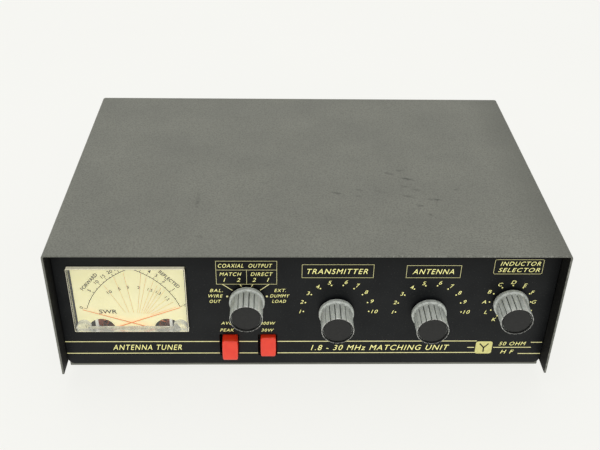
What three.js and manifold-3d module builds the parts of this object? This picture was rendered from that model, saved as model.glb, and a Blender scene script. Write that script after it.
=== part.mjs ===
// Short-wave antenna tuner: a low steel case with a recessed front panel, a cross-needle
// meter, two variable capacitors, a switched coil and an output selector.
// Millimetres, +Z up, the front faces -Y. The design frame has X to the right of the centre,
// Y from the cover's front edge towards the back, and Z up from 10.5 above the table.

import * as THREE from "three";
import { mergeVertices } from "three/addons/utils/BufferGeometryUtils.js";
import Module from "manifold-3d";

const wasm = await Module();
wasm.setup();

// ---- Driving dimensions ----------------------------------------------------------------

const GAP = 0.3; // left between two pieces that meet
const SHEET = 1.2; // steel sheet of the cover, chassis and panel
const RUNNING = 0.35; // round a shaft that turns
const MARGIN = 0.5; // round a part that passes through the chassis

const cover = { width: 300, depth: 204.6, top: 89.3, bottom: -0.6, bend: 2.2 };
const inner = cover.width / 2 - SHEET; // inside face of a cover side

const panel = { front: 11.2, bottom: -1.9, side: inner - 0.5, corner: 4 };
panel.top = cover.top - SHEET - 0.5;
panel.back = panel.front + SHEET;

const chassis = { front: panel.back + GAP, floor: -5.5, side: inner - 0.9, bend: 1.6 };
chassis.wallBack = chassis.front + SHEET;
chassis.rear = cover.depth - panel.front;
chassis.floorTop = chassis.floor + SHEET;
const flange = { front: 30, back: 178, top: 16 }; // the chassis sides, which take the cover screws

const foot = { radius: 7, height: 5, stem: 2, insetX: 22, frontY: 42, rearY: 172 };
const coverScrew = { z: 7, frontY: 48, rearY: 160, shank: 1.5, head: 3, headHeight: 1.8, length: 8 };

// Shaft centres of the four controls, on the panel.
const output = { x: -35.9, z: 49.3 };
const transmitter = { x: 17.7, z: 40.3 };
const antenna = { x: 73.8, z: 39.8 };
const inductor = { x: 122.6, z: 47.2 };

const knob = { front: -7.5, length: 17.2, radius: 9.6, skirt: 10.6, skirtLength: 2.4, flutes: 18 };
knob.recess = 8.6; // radius of the round recess that holds the front disc
const shaftRadius = 3;
const bushing = { radius: 4.75, front: panel.front - 0.9 };

// Push buttons: a cap in a rectangular hole. One stands out, the other is latched in.
const button = { width: 9.7, height: 15.2, length: 10.2, z: 13.3, front: 4.95, latched: 3.1 };
button.hole = { width: 11.7, height: 17 };
const averagePeak = { x: -46.8, holeX: -47.5 };
const powerRange = { x: -23.4, holeX: -23.8 };

// The meter: a clear box that stands proud of the panel, over two crossing needles.
const meter = { left: -140.5, right: -71.65, bottom: 25.7, top: 73.05, front: 9 };
meter.wall = 1;
meter.sill = 3; // thickness of the clear box's lower wall
meter.dial = 14.2;
meter.middle = (meter.left + meter.right) / 2;
const housing = { left: -143.5, right: -68.7, bottom: 9.5, top: 76, back: 44, wall: 1.6 };
const pivot = { middle: -104.9, half: 18, z: 23.4 };
const dialWindow = { half: 20, radius: 9 }; // a round hole below each end of the dial
const peg = { half: 28.6, radius: 4.6 };
const lamp = { front: 22, z: 62 };
const forwardNeedle = { rest: 19.5, length: 51, front: 12.7 };
const reflectedNeedle = { rest: 21.2, length: 50.1, front: 13.3 };

const capacitor = { front: 15, plates: 4, pitch: 8, plate: 0.9, radius: 20.5 };
capacitor.halfWidth = 24.5;
capacitor.halfHeight = 27;
capacitor.length = capacitor.plates * capacitor.pitch + 8;
capacitor.bar = { x: 21.8, z: -9.5 }; // each of the two bars that hold the fixed plates
capacitor.tie = { x: 21.5, z: 24 }; // each of the four rods between the frame's ends

const coil = { x: 66, y: 122, z: 40, radius: 22, wire: 1.4, turns: 9, pitch: 9, former: 18.6 };
const balun = { x: -25, y: 140, outer: 21, inner: 12, height: 13, z: 12, turns: 9, wire: 1 };
const board = { left: -134, right: -76, front: 62, back: 138, z: 8, thick: 1.6 };

// Decks of the rotary switches, counted back from the chassis wall.
const outputDeck = { places: [18, 30], thick: 1.6, radius: 17, rotor: 5.5 };
const inductorDeck = { front: 22, half: 20.5, contacts: 12, ring: 15.5 };

// The back wall: coaxial sockets, two terminals, an earth stud and a lamp jack.
const socket = { z: 45, places: [118, 78, 38, -2], flange: 12.5, barrel: 7.9, length: 12.3, body: 6 };
const terminal = { z: 45, places: [-50, -76], stud: 2.5, collar: 6, knob: 6.2 };
const earth = { x: -112, z: 20, stud: 3 };
const jack = { x: -112, z: 58, radius: 5 };
const rearFace = chassis.rear + SHEET;
const rearmost = rearFace + 15.2; // ends of the terminal studs

// ---- Finishes --------------------------------------------------------------------------

const finishes = {
  coverPaint: { color: 0x73746c, roughness: 0.62, metalness: 0.1 },
  steel: { color: 0x6c6d65, roughness: 0.6, metalness: 0.2 },
  panelBlack: { color: 0x222325, roughness: 0.5, metalness: 0.2 },
  rubber: { color: 0x1c1c1c, roughness: 0.9, metalness: 0 },
  plated: { color: 0xb9bab6, roughness: 0.3, metalness: 0.9 },
  knobGrey: { color: 0x969b90, roughness: 0.45, metalness: 0 },
  discBlack: { color: 0x32322f, roughness: 0.4, metalness: 0 },
  buttonRed: { color: 0xe43a22, roughness: 0.35, metalness: 0 },
  whitePlastic: { color: 0xe8e6dc, roughness: 0.5, metalness: 0 },
  blackPlastic: { color: 0x1d1d1f, roughness: 0.5, metalness: 0 },
  clear: { color: 0xf4f6f2, roughness: 0.05, metalness: 0, transparent: true, opacity: 0.3 },
  cream: { color: 0xf3eab8, roughness: 0.6, metalness: 0 },
  needleRed: { color: 0xe2562f, roughness: 0.5, metalness: 0 },
  aluminium: { color: 0xc4c6c8, roughness: 0.35, metalness: 0.9 },
  ceramic: { color: 0xe9e4d6, roughness: 0.4, metalness: 0 },
  copper: { color: 0xb87242, roughness: 0.3, metalness: 0.9 },
  ferrite: { color: 0x3a3d40, roughness: 0.7, metalness: 0 },
  boardGreen: { color: 0x2f5d3a, roughness: 0.5, metalness: 0 },
  brass: { color: 0xb99a52, roughness: 0.35, metalness: 0.9 },
  terminalRed: { color: 0xa8221c, roughness: 0.4, metalness: 0 },
  bulb: { color: 0xf6e7c0, roughness: 0.1, metalness: 0 },
};

// ---- Solids: closed three.js geometries, joined and cut --------------------------------

// Triangles that a pole or a seam has flattened to a line are left out.
function fullTriangles(index) {
  const kept = [];
  for (let i = 0; i < index.length; i += 3) {
    const [a, b, c] = [index[i], index[i + 1], index[i + 2]];
    if (a !== b && b !== c && c !== a) kept.push(a, b, c);
  }
  return kept;
}

function signedVolume(vertices, triangles) {
  const corner = (i) => new THREE.Vector3().fromArray(vertices, 3 * triangles[i]);
  let volume = 0;
  for (let i = 0; i < triangles.length; i += 3) {
    volume += corner(i).dot(corner(i + 1).cross(corner(i + 2))) / 6;
  }
  return volume;
}

function solid(geometry) {
  const bare = geometry.clone();
  bare.deleteAttribute("normal");
  bare.deleteAttribute("uv");
  const merged = mergeVertices(bare, 1e-4);
  const vertProperties = new Float32Array(merged.attributes.position.array);
  const triangles = fullTriangles(merged.index.array);
  if (signedVolume(vertProperties, triangles) < 0) triangles.reverse();
  const triVerts = new Uint32Array(triangles);
  return new wasm.Manifold(new wasm.Mesh({ numProp: 3, vertProperties, triVerts }));
}

function toGeometry(body) {
  const mesh = body.getMesh();
  const geometry = new THREE.BufferGeometry();
  geometry.setAttribute("position", new THREE.BufferAttribute(mesh.vertProperties, 3));
  geometry.setIndex(new THREE.BufferAttribute(mesh.triVerts, 1));
  geometry.computeVertexNormals();
  return geometry;
}

const join = (...bodies) => bodies.reduce((whole, body) => whole.add(body));
const cut = (body, ...tools) => tools.reduce((rest, tool) => rest.subtract(tool), body);

function box([x0, x1], [y0, y1], [z0, z1]) {
  const geometry = new THREE.BoxGeometry(x1 - x0, y1 - y0, z1 - z0);
  return solid(geometry.translate((x0 + x1) / 2, (y0 + y1) / 2, (z0 + z1) / 2));
}

const around = (centre, half) => [centre - half, centre + half];

// A round bar along Y.
function rod(radius, [y0, y1], x = 0, z = 0, sides = 12) {
  const geometry = new THREE.CylinderGeometry(radius, radius, y1 - y0, sides);
  return solid(geometry.translate(x, (y0 + y1) / 2, z));
}

// A round bar along Z.
function post(radius, [z0, z1], x, y, sides = 10) {
  const geometry = new THREE.CylinderGeometry(radius, radius, z1 - z0, sides);
  return solid(geometry.rotateX(Math.PI / 2).translate(x, y, (z0 + z1) / 2));
}

// A turned piece about Y, from a profile of [radius, y] points that starts and ends on the axis.
function turned(profile, sides = 14) {
  return solid(new THREE.LatheGeometry(profile.map(([r, y]) => new THREE.Vector2(r, y)), sides));
}

// The same, about Z.
function turnedUpright(profile, sides = 12) {
  const geometry = new THREE.LatheGeometry(profile.map(([r, z]) => new THREE.Vector2(r, z)), sides);
  return solid(geometry.rotateX(Math.PI / 2));
}

// An outline in X and Z, given thickness along Y.
function alongY(outline, [y0, y1], curveSegments = 2) {
  const depth = y1 - y0;
  const geometry = new THREE.ExtrudeGeometry(outline, { depth, bevelEnabled: false, curveSegments });
  const axes = new THREE.Matrix4().makeBasis(
    new THREE.Vector3(1, 0, 0),
    new THREE.Vector3(0, 0, 1),
    new THREE.Vector3(0, -1, 0),
  );
  return solid(geometry.applyMatrix4(axes).translate(0, y1, 0));
}

// An outline in Y and Z, given thickness along X.
function alongX(outline, [x0, x1], curveSegments = 2) {
  const depth = x1 - x0;
  const geometry = new THREE.ExtrudeGeometry(outline, { depth, bevelEnabled: false, curveSegments });
  const axes = new THREE.Matrix4().makeBasis(
    new THREE.Vector3(0, 1, 0),
    new THREE.Vector3(0, 0, 1),
    new THREE.Vector3(1, 0, 0),
  );
  return solid(geometry.applyMatrix4(axes).translate(x0, 0, 0));
}

// A round wire along a curve.
function wire(curve, radius, steps, sides = 4) {
  const section = new THREE.Shape();
  for (let i = 0; i < sides; i += 1) {
    const angle = (2 * Math.PI * i) / sides;
    const place = [radius * Math.cos(angle), radius * Math.sin(angle)];
    if (i === 0) section.moveTo(...place);
    else section.lineTo(...place);
  }
  section.closePath();
  return solid(new THREE.ExtrudeGeometry(section, { steps, extrudePath: curve, bevelEnabled: false }));
}

// A sheet bent twice into a channel that opens upwards (up = 1) or downwards (up = -1).
function channelOutline(low, high, base, end, bend, up) {
  const outline = new THREE.Shape();
  const quarter = Math.PI / 2;
  const level = base + up * bend;
  const clockwise = up < 0;
  const inside = bend - SHEET;
  outline.moveTo(low, end);
  outline.lineTo(low, level);
  outline.absarc(low + bend, level, bend, Math.PI, Math.PI + up * quarter, clockwise);
  outline.lineTo(high - bend, base);
  outline.absarc(high - bend, level, bend, -up * quarter, 0, clockwise);
  outline.lineTo(high, end);
  outline.lineTo(high - SHEET, end);
  outline.absarc(high - bend, level, inside, 0, -up * quarter, !clockwise);
  outline.lineTo(low + bend, base + up * SHEET);
  outline.absarc(low + bend, level, inside, Math.PI + up * quarter, Math.PI, !clockwise);
  outline.closePath();
  return outline;
}

// ---- The scene graph -------------------------------------------------------------------

const tuner = new THREE.Group();
const stand = new THREE.Group(); // moves the design frame so that the origin is under the middle
stand.position.set(0, -(knob.front + rearmost) / 2, foot.height - chassis.floor);
tuner.add(stand);

function place(parent, name, body, finish, [x, y, z] = [0, 0, 0]) {
  const mesh = new THREE.Mesh(toGeometry(body), new THREE.MeshStandardMaterial(finishes[finish]));
  mesh.name = name;
  mesh.position.set(x, y, z);
  parent.add(mesh);
  return mesh;
}

const controls = [output, transmitter, antenna, inductor];
const buttons = [averagePeak, powerRange];

// ---- Case ------------------------------------------------------------------------------

function topCover() {
  const half = cover.width / 2;
  const outline = channelOutline(-half, half, cover.top, cover.bottom, cover.bend, -1);
  return cut(alongY(outline, [0, cover.depth]), ...screwHoles());
}

// Bars through both sides of the case, where the cover screws go.
function screwHoles() {
  const radius = coverScrew.shank + GAP;
  return [coverScrew.frontY, coverScrew.rearY].map((y) => {
    const bar = new THREE.CylinderGeometry(radius, radius, cover.width + 2, 8);
    return solid(bar.rotateZ(Math.PI / 2).translate(0, y, coverScrew.z));
  });
}

// Holes that the front panel and the chassis wall behind it both have.
function frontHoles(grow) {
  const depth = [panel.front - 1, chassis.wallBack + 1];
  const holes = controls.map(({ x, z }) => rod(bushing.radius + RUNNING, depth, x, z));
  for (const { holeX } of buttons) {
    const across = around(holeX, button.hole.width / 2 + grow);
    holes.push(box(across, depth, around(button.z, button.hole.height / 2 + grow)));
  }
  return holes;
}

function frontPanel() {
  const outline = new THREE.Shape();
  const { side, bottom, top, corner } = panel;
  outline.moveTo(-side + corner, bottom);
  outline.lineTo(side - corner, bottom);
  outline.absarc(side - corner, bottom + corner, corner, -Math.PI / 2, 0, false);
  outline.lineTo(side, top);
  outline.lineTo(-side, top);
  outline.lineTo(-side, bottom + corner);
  outline.absarc(-side + corner, bottom + corner, corner, Math.PI, 1.5 * Math.PI, false);
  const sheet = alongY(outline, [panel.front, panel.back]);
  const window = box(
    [meter.left - GAP, meter.right + GAP],
    [panel.front - 1, panel.back + 1],
    [meter.bottom - GAP, meter.top + GAP],
  );
  return cut(sheet, window, ...frontHoles(0));
}

function chassisTray() {
  const walls = channelOutline(chassis.front, rearFace, chassis.floor, panel.top, chassis.bend, 1);
  const tray = alongX(walls, around(0, chassis.side));
  const flanges = [-1, 1].map((side) => {
    const ends = [side * chassis.side, side * (chassis.side - SHEET)].sort((a, b) => a - b);
    return box(ends, [flange.front, flange.back], [chassis.floor + 0.4, flange.top]);
  });
  const meterHole = box(
    [housing.left - MARGIN, housing.right + MARGIN],
    [chassis.front - 1, chassis.wallBack + 1],
    [housing.bottom - MARGIN, housing.top + MARGIN],
  );
  const through = [chassis.rear - 1, rearFace + 1];
  const rearHoles = [
    ...socket.places.map((x) => rod(socket.body + GAP, through, x, socket.z)),
    ...terminal.places.map((x) => rod(terminal.stud + GAP, through, x, terminal.z)),
    rod(earth.stud + GAP, through, earth.x, earth.z),
    rod(jack.radius + GAP, through, jack.x, jack.z),
  ];
  const footHoles = footPlaces().map(([x, y]) =>
    post(foot.stem + GAP, [chassis.floor - 1, chassis.floorTop + 1], x, y, 8));
  const holes = [meterHole, ...frontHoles(MARGIN), ...rearHoles, ...footHoles, ...screwHoles()];
  return cut(join(tray, ...flanges), ...holes);
}

function footPlaces() {
  const x = cover.width / 2 - foot.insetX;
  return [[-x, foot.frontY], [x, foot.frontY], [-x, foot.rearY], [x, foot.rearY]];
}

// A rubber foot with a stem and a barb that snaps into the chassis floor.
function snapFoot() {
  const top = SHEET + GAP;
  const profile = [
    [0, -foot.height],
    [foot.radius, -foot.height],
    [foot.radius - 0.8, -GAP],
    [foot.stem, -GAP],
    [foot.stem, top],
    [foot.stem + 1.1, top + 0.3],
    [foot.stem - 0.6, top + 2.6],
    [0, top + 2.6],
  ];
  return turnedUpright(profile);
}

// A pan-head screw along Y, its head towards -Y from y = 0.
function panScrew() {
  const { head, headHeight, shank, length } = coverScrew;
  const profile = [
    [0, -headHeight],
    [head * 0.6, -headHeight],
    [head, -headHeight * 0.35],
    [head, 0],
    [shank, 0],
    [shank, length],
    [0, length],
  ];
  const slot = box([-head, head], [-headHeight - 1, -headHeight + 0.8], [-0.35, 0.35]);
  return cut(turned(profile, 10), slot);
}

place(stand, "top_cover", topCover(), "coverPaint");
place(stand, "chassis_tray", chassisTray(), "steel");
place(stand, "front_panel", frontPanel(), "panelBlack");

const footNames = ["foot_front_left", "foot_front_right", "foot_rear_left", "foot_rear_right"];
footPlaces().forEach(([x, y], i) => {
  place(stand, footNames[i], snapFoot(), "rubber", [x, y, chassis.floor]);
});

for (const [side, word] of [[-1, "left"], [1, "right"]]) {
  for (const [y, where] of [[coverScrew.frontY, "front"], [coverScrew.rearY, "rear"]]) {
    const at = [side * (cover.width / 2 + GAP), y, coverScrew.z];
    const screw = place(stand, `cover_screw_${where}_${word}`, panScrew(), "plated", at);
    screw.rotation.z = side * 0.5 * Math.PI;
  }
}

// ---- Knobs and shafts ------------------------------------------------------------------

// Local y = 0 is the knob's front face, and it is hollow at the back, over the bushing.
function knobBody() {
  const { flutes, radius, length, skirt, skirtLength, recess } = knob;
  const outline = new THREE.Shape();
  const step = (2 * Math.PI) / flutes;
  for (let i = 0; i < flutes; i += 1) {
    for (const [share, r] of [[0, radius - 0.7], [0.16, radius], [0.84, radius]]) {
      const angle = (i + share) * step;
      const point = [r * Math.cos(angle), r * Math.sin(angle)];
      if (i === 0 && share === 0) outline.moveTo(...point);
      else outline.lineTo(...point);
    }
  }
  outline.closePath();
  const grip = alongY(outline, [0, length - skirtLength + 0.1]);
  const base = rod(skirt, [length - skirtLength, length], 0, 0, 24);
  return cut(
    join(grip, base),
    rod(recess, [-1, 1.2], 0, 0, 24),
    rod(7.4, [length - 3.4, length + 1]),
    rod(shaftRadius + GAP, [3, length]),
  );
}

function frontDisc() {
  const radius = knob.recess - GAP;
  return rod(radius, [0.1, 0.9], 0, 0, 24);
}

// Rear end of a shaft that starts inside its knob.
function controlShaft(end) {
  return rod(shaftRadius, [knob.front + 3.4, end]);
}

function placeKnob(name, { x, z }) {
  place(stand, `${name}_knob`, knobBody(), "knobGrey", [x, knob.front, z]);
  place(stand, `${name}_knob_disc`, frontDisc(), "discBlack", [x, knob.front, z]);
}

placeKnob("output", output);
placeKnob("transmitter", transmitter);
placeKnob("antenna", antenna);
placeKnob("inductor", inductor);

// ---- Rotary switches -------------------------------------------------------------------

const wallBack = chassis.wallBack + GAP;

function threadedBushing(end) {
  return rod(bushing.radius, [bushing.front, end]);
}

const deckSpan = (y) => [wallBack + y, wallBack + y + outputDeck.thick];

function outputSwitch() {
  const plate = box(around(0, 15), [wallBack, wallBack + 1.8], around(0, 14));
  const detent = rod(14, [wallBack + 1.7, wallBack + 10]);
  const spacers = [-12, 12].map((x) => rod(1.4, [wallBack + 9.9, wallBack + 33], x, 0, 10));
  const wafers = outputDeck.places.map((y) => rod(outputDeck.radius, deckSpan(y), 0, 0, 20));
  const whole = join(plate, detent, threadedBushing(wallBack + 1), ...spacers, ...wafers);
  const rotorRoom = rod(outputDeck.rotor + MARGIN, [wallBack + 12, wallBack + 40]);
  return cut(whole, rod(shaftRadius + RUNNING, [0, wallBack + 11]), rotorRoom);
}

function outputShaft() {
  const rotors = outputDeck.places.map((y) => rod(outputDeck.rotor, deckSpan(y)));
  return join(controlShaft(wallBack + 34), ...rotors);
}

function inductorSwitch() {
  const plate = box(around(0, 20), [wallBack, wallBack + 1.8], around(0, 20));
  const detent = rod(14, [wallBack + 1.7, wallBack + 11]);
  const corners = [[-17.5, -17.5], [17.5, -17.5], [-17.5, 17.5], [17.5, 17.5]];
  const spacers = corners.map(([x, z]) => rod(1.6, [wallBack + 1.7, wallBack + 23], x, z, 10));
  const { front, half, contacts: count, ring } = inductorDeck;
  const wafer = box(around(0, half), [wallBack + front, wallBack + front + 4], around(0, half));
  const contacts = [];
  for (let i = 0; i < count; i += 1) {
    const angle = (2 * Math.PI * i) / count;
    const [x, z] = [ring * Math.cos(angle), ring * Math.sin(angle)];
    contacts.push(box(around(x, 1.4), [wallBack + front - 0.6, wallBack + front + 9], around(z, 1.4)));
  }
  const whole = join(plate, detent, threadedBushing(wallBack + 1), ...spacers, wafer, ...contacts);
  return cut(whole, rod(shaftRadius + RUNNING, [0, wallBack + 40]));
}

function inductorShaft() {
  const wiper = box([-2.2, 2.2], [wallBack + 19.5, wallBack + 20.9], [-2, 16.5]);
  return join(controlShaft(wallBack + 30), rod(6, [wallBack + 15, wallBack + 20.9]), wiper);
}

place(stand, "output_switch", outputSwitch(), "ceramic", [output.x, 0, output.z]);
place(stand, "output_shaft", outputShaft(), "plated", [output.x, 0, output.z]);
const inductorPlace = [inductor.x, 0, inductor.z];
place(stand, "inductor_switch", inductorSwitch(), "ceramic", inductorPlace);
place(stand, "inductor_shaft", inductorShaft(), "plated", inductorPlace).rotation.y = Math.PI / 6;

// ---- Variable capacitors ---------------------------------------------------------------

const plateY = (i) => capacitor.front + 5 + i * capacitor.pitch;

function capacitorFrame() {
  const { front, length, halfWidth, halfHeight, tie, bar } = capacitor;
  const endPlate = (y) => box(around(0, halfWidth), [y, y + 2], around(0, halfHeight));
  const ends = [front, front + length - 2].map(endPlate);
  const rods = [];
  for (const x of [-tie.x, tie.x]) {
    for (const z of [-tie.z, tie.z]) {
      rods.push(rod(1.8, [front + 1, front + length - 1], x, z, 10));
    }
  }
  const bearing = rod(6, [front + length - 0.1, front + length + 4]);
  const stators = [-1, 1].map((side) => rod(3, [0, 100], side * bar.x, bar.z, 14));
  const whole = join(...ends, ...rods, bearing, threadedBushing(front + 1));
  return cut(whole, rod(shaftRadius + RUNNING, [0, front + length + 3]), ...stators);
}

// Half-round fixed plates on two bars, whose ends sit in the frame's insulated holes.
function capacitorStator() {
  const { plates, plate, radius, front, length, bar } = capacitor;
  const outline = new THREE.Shape();
  const reach = radius + 4;
  const hole = 6;
  const outerDip = Math.asin(1.5 / reach);
  const innerDip = Math.asin(1.5 / hole);
  outline.absarc(0, 0, reach, -outerDip, -Math.PI + outerDip, true);
  outline.absarc(0, 0, hole, -Math.PI + innerDip, -innerDip, false);
  outline.closePath();
  const stack = [];
  for (let i = 0; i < plates; i += 1) {
    const y = plateY(i);
    stack.push(alongY(outline, [y - plate / 2, y + plate / 2], 4));
  }
  const ends = [-bar.x, bar.x];
  const bars = ends.map((x) => rod(1.6, [front + 0.4, front + length - 0.4], x, bar.z, 8));
  const insulators = ends.flatMap((x) =>
    [front, front + length - 2].map((y) => rod(2.7, [y + 0.2, y + 1.8], x, bar.z, 10)));
  return join(...stack, ...bars, ...insulators);
}

// The rotor stands clear of the fixed plates when its half-round plates point up.
function capacitorRotor() {
  const { plates, pitch, plate, radius, front, length } = capacitor;
  const outline = new THREE.Shape();
  outline.moveTo(radius, -1);
  outline.absarc(0, 0, radius, 0, Math.PI, false);
  outline.lineTo(-radius, -1);
  outline.closePath();
  const moving = [];
  for (let i = 0; i < plates - 1; i += 1) {
    const y = plateY(i) + pitch / 2;
    moving.push(alongY(outline, [y - plate / 2, y + plate / 2], 5));
  }
  return join(controlShaft(front + length + 2.6), rod(4.4, [front + 4, front + length - 5]), ...moving);
}

for (const [name, at] of [["transmitter", transmitter], ["antenna", antenna]]) {
  const centre = [at.x, 0, at.z];
  place(stand, `${name}_capacitor_frame`, capacitorFrame(), "aluminium", centre);
  place(stand, `${name}_capacitor_stator`, capacitorStator(), "aluminium", centre);
  place(stand, `${name}_capacitor_rotor`, capacitorRotor(), "aluminium", centre);
}

// ---- Coil and balun --------------------------------------------------------------------

class Helix extends THREE.Curve {
  getPoint(t) {
    const angle = 2 * Math.PI * coil.turns * t;
    const along = (t - 0.5) * coil.turns * coil.pitch;
    return new THREE.Vector3(along, coil.radius * Math.cos(angle), coil.radius * Math.sin(angle));
  }
}

class ToroidWinding extends THREE.Curve {
  getPoint(t) {
    const round = 2 * Math.PI * 0.92 * t;
    const turn = 2 * Math.PI * balun.turns * t;
    const middle = (balun.outer + balun.inner) / 2;
    const reach = Math.hypot((balun.outer - balun.inner) / 2, balun.height / 2) + balun.wire + 1.4;
    const radius = middle + reach * Math.cos(turn);
    return new THREE.Vector3(radius * Math.cos(round), radius * Math.sin(round), reach * Math.sin(turn));
  }
}

function coilFormer() {
  const length = coil.turns * coil.pitch + 12;
  const across = (radius, long) => {
    const bar = new THREE.CylinderGeometry(radius, radius, long, 16);
    return solid(bar.rotateZ(Math.PI / 2));
  };
  const outside = coil.former;
  const floor = chassis.floorTop + GAP - coil.z;
  const feet = [-1, 1].map((side) => {
    const x = side * (length / 2 - 1.5);
    return box(around(x, 1.5), [-15, 15], [floor, -outside + 6]);
  });
  return cut(join(across(outside, length), ...feet), across(outside - 2, length + 2));
}

function balunCore() {
  const { outer, inner: hole, height } = balun;
  const ring = post(outer, around(0, height / 2), 0, 0, 24);
  return cut(ring, post(hole, around(0, height), 0, 0, 20));
}

const coilPlace = [coil.x, coil.y, coil.z];
place(stand, "inductor_coil", wire(new Helix(), coil.wire, coil.turns * 10), "copper", coilPlace);
place(stand, "coil_former", coilFormer(), "whitePlastic", coilPlace);
const balunPlace = [balun.x, balun.y, balun.z];
place(stand, "balun_core", balunCore(), "ferrite", balunPlace);
place(stand, "balun_winding", wire(new ToroidWinding(), balun.wire, balun.turns * 7), "copper", balunPlace);

// ---- Power and reflected-wave bridge ---------------------------------------------------

function bridgeBoard() {
  const { left, right, front, back, z, thick } = board;
  const sheet = box([left, right], [front, back], [z, z + thick]);
  const legs = [];
  for (const x of [left + 5, right - 5]) {
    for (const y of [front + 5, back - 5]) {
      legs.push(post(3, [chassis.floorTop + GAP, z + 0.1], x, y, 10));
    }
  }
  const top = z + thick - 0.1;
  const [ringX, ringY] = [left + 18, front + 22];
  const ring = post(10, [top, top + 9], ringX, ringY, 16);
  const transformer = cut(ring, post(5, [top + 0.5, top + 12], ringX, ringY));
  const trimmer = (i) => box(around(right - 12, 4), around(front + 16 + 16 * i, 4), [top, top + 6]);
  const trimmers = [0, 1].map(trimmer);
  const electrolytics = [0, 1, 2].map((i) => post(4, [top, top + 11], left + 12 + 14 * i, back - 14, 12));
  const diode = (i) => box(around(right - 14, 3.5), around(front + 48 + 6 * i, 1.2), [top, top + 2.6]);
  const diodes = [0, 1, 2].map(diode);
  return join(sheet, ...legs, transformer, ...trimmers, ...electrolytics, ...diodes);
}

place(stand, "bridge_board", bridgeBoard(), "boardGreen");

// ---- Push buttons ----------------------------------------------------------------------

const plunger = { half: 1.8, start: 3, end: 25 };

// Local y = 0 is the cap's front face.
function buttonCap() {
  const { width, height, length } = button;
  const outline = new THREE.Shape();
  const [w, h, r] = [width / 2, height / 2, 1.2];
  outline.moveTo(-w + r, -h);
  outline.lineTo(w - r, -h);
  outline.absarc(w - r, -h + r, r, -Math.PI / 2, 0, false);
  outline.lineTo(w, h - r);
  outline.absarc(w - r, h - r, r, 0, Math.PI / 2, false);
  outline.lineTo(-w + r, h);
  outline.absarc(-w + r, h - r, r, Math.PI / 2, Math.PI, false);
  outline.lineTo(-w, -h + r);
  outline.absarc(-w + r, -h + r, r, Math.PI, 1.5 * Math.PI, false);
  const shell = cut(
    alongY(outline, [0, length]),
    box(around(0, w - 1.3), [2, length + 1], around(0, h - 1.3)),
  );
  const boss = box(around(0, 3.2), [1.9, length - 2], around(0, 3.2));
  const hole = plunger.half + GAP;
  return cut(join(shell, boss), box(around(0, hole), [plunger.start - GAP, length], around(0, hole)));
}

function buttonPlunger() {
  const { half, start, end } = plunger;
  return box(around(0, half), [start, end], around(0, half));
}

// Local to the shaft line of its button, with y still counted from the cover's edge.
function pushSwitch() {
  const bodyFront = 21;
  const body = box(around(0, 6), [bodyFront, bodyFront + 24], around(0, 6.5));
  const arms = [-1, 1].map((side) => {
    const ends = [side * 7.6, side * 8.6].sort((a, b) => a - b);
    return box(ends, [wallBack, bodyFront + 8], around(0, 5));
  });
  const yoke = box(around(0, 8.6), [bodyFront + 7, bodyFront + 8], around(0, 5));
  const lugs = [-4, 0, 4].map((z) => box(around(0, 4), [bodyFront + 23.9, bodyFront + 28], around(z, 0.4)));
  const bore = plunger.half + RUNNING;
  const channel = box(around(0, bore), [bodyFront - 1, bodyFront + 15], around(0, bore));
  return cut(join(body, ...arms, yoke, ...lugs), channel);
}

for (const [name, { x }, latched] of [
  ["average_peak", averagePeak, 0],
  ["power_range", powerRange, button.latched],
]) {
  const at = [x, button.front + latched, button.z];
  place(stand, `${name}_button`, buttonCap(), "buttonRed", at);
  place(stand, `${name}_plunger`, buttonPlunger(), "whitePlastic", at);
  place(stand, `${name}_switch`, pushSwitch(), "blackPlastic", [x, 0, button.z]);
}

// ---- Cross-needle meter ----------------------------------------------------------------

function meterCover() {
  const { left, right, bottom, top, front, wall, sill, middle, dial } = meter;
  const block = box([left, right], [front, dial + 0.4], [bottom, top]);
  const across = [left + wall, right - wall];
  const cavity = box(across, [front + wall - 0.1, dial + 2], [bottom + sill, top - wall]);
  const behindSill = box(across, [panel.back, dial + 2], [bottom - 1, bottom + sill + 1]);
  const shell = cut(block, cavity, behindSill);
  const pegs = [-1, 1].map((side) => {
    const round = rod(peg.radius, [front + 0.5, dial - GAP], middle + side * peg.half, bottom + sill, 16);
    return round.intersect(box([left, right], [front, dial], [bottom, top]));
  });
  return join(shell, ...pegs);
}

function meterHousing() {
  const { left, right, bottom, top, back, wall } = housing;
  const outside = box([left, right], [panel.back + GAP, back], [bottom, top]);
  const ledgeFront = meter.dial + 0.9;
  const frontRoom = box([left + wall, right - wall], [panel.back, ledgeFront], [bottom + wall, top - wall]);
  const rearRoom = box([left + 5, right - 5], [panel.back, back - wall], [bottom + wall, top - wall - 4]);
  return cut(outside, frontRoom, rearRoom);
}

function meterDial() {
  const { left, right, top, wall, dial } = meter;
  const across = [left + wall + GAP, right - wall - GAP];
  const sheet = box(across, [dial, dial + 0.6], [housing.bottom + housing.wall + 2, top - wall - GAP]);
  const windows = [-1, 1].map((side) =>
    rod(dialWindow.radius, [dial - 1, dial + 2], pivot.middle + side * dialWindow.half, pivot.z, 20));
  return cut(sheet, ...windows);
}

// A magnet block with a bore for the coil and a bridge across each end. Local to the pivot.
function movement() {
  const floor = housing.bottom + housing.wall + GAP - pivot.z;
  const block = box(around(0, 11.5), [17.4, 33], [floor, 11]);
  const bridges = [[16, 17.5], [32.9, 34.4]].map((span) => box(around(0, 2.4), span, [floor, 11]));
  const magnet = cut(block, rod(6.8, [10, 40]));
  return cut(join(magnet, ...bridges), rod(1, [10, 40], 0, 0, 8));
}

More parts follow.
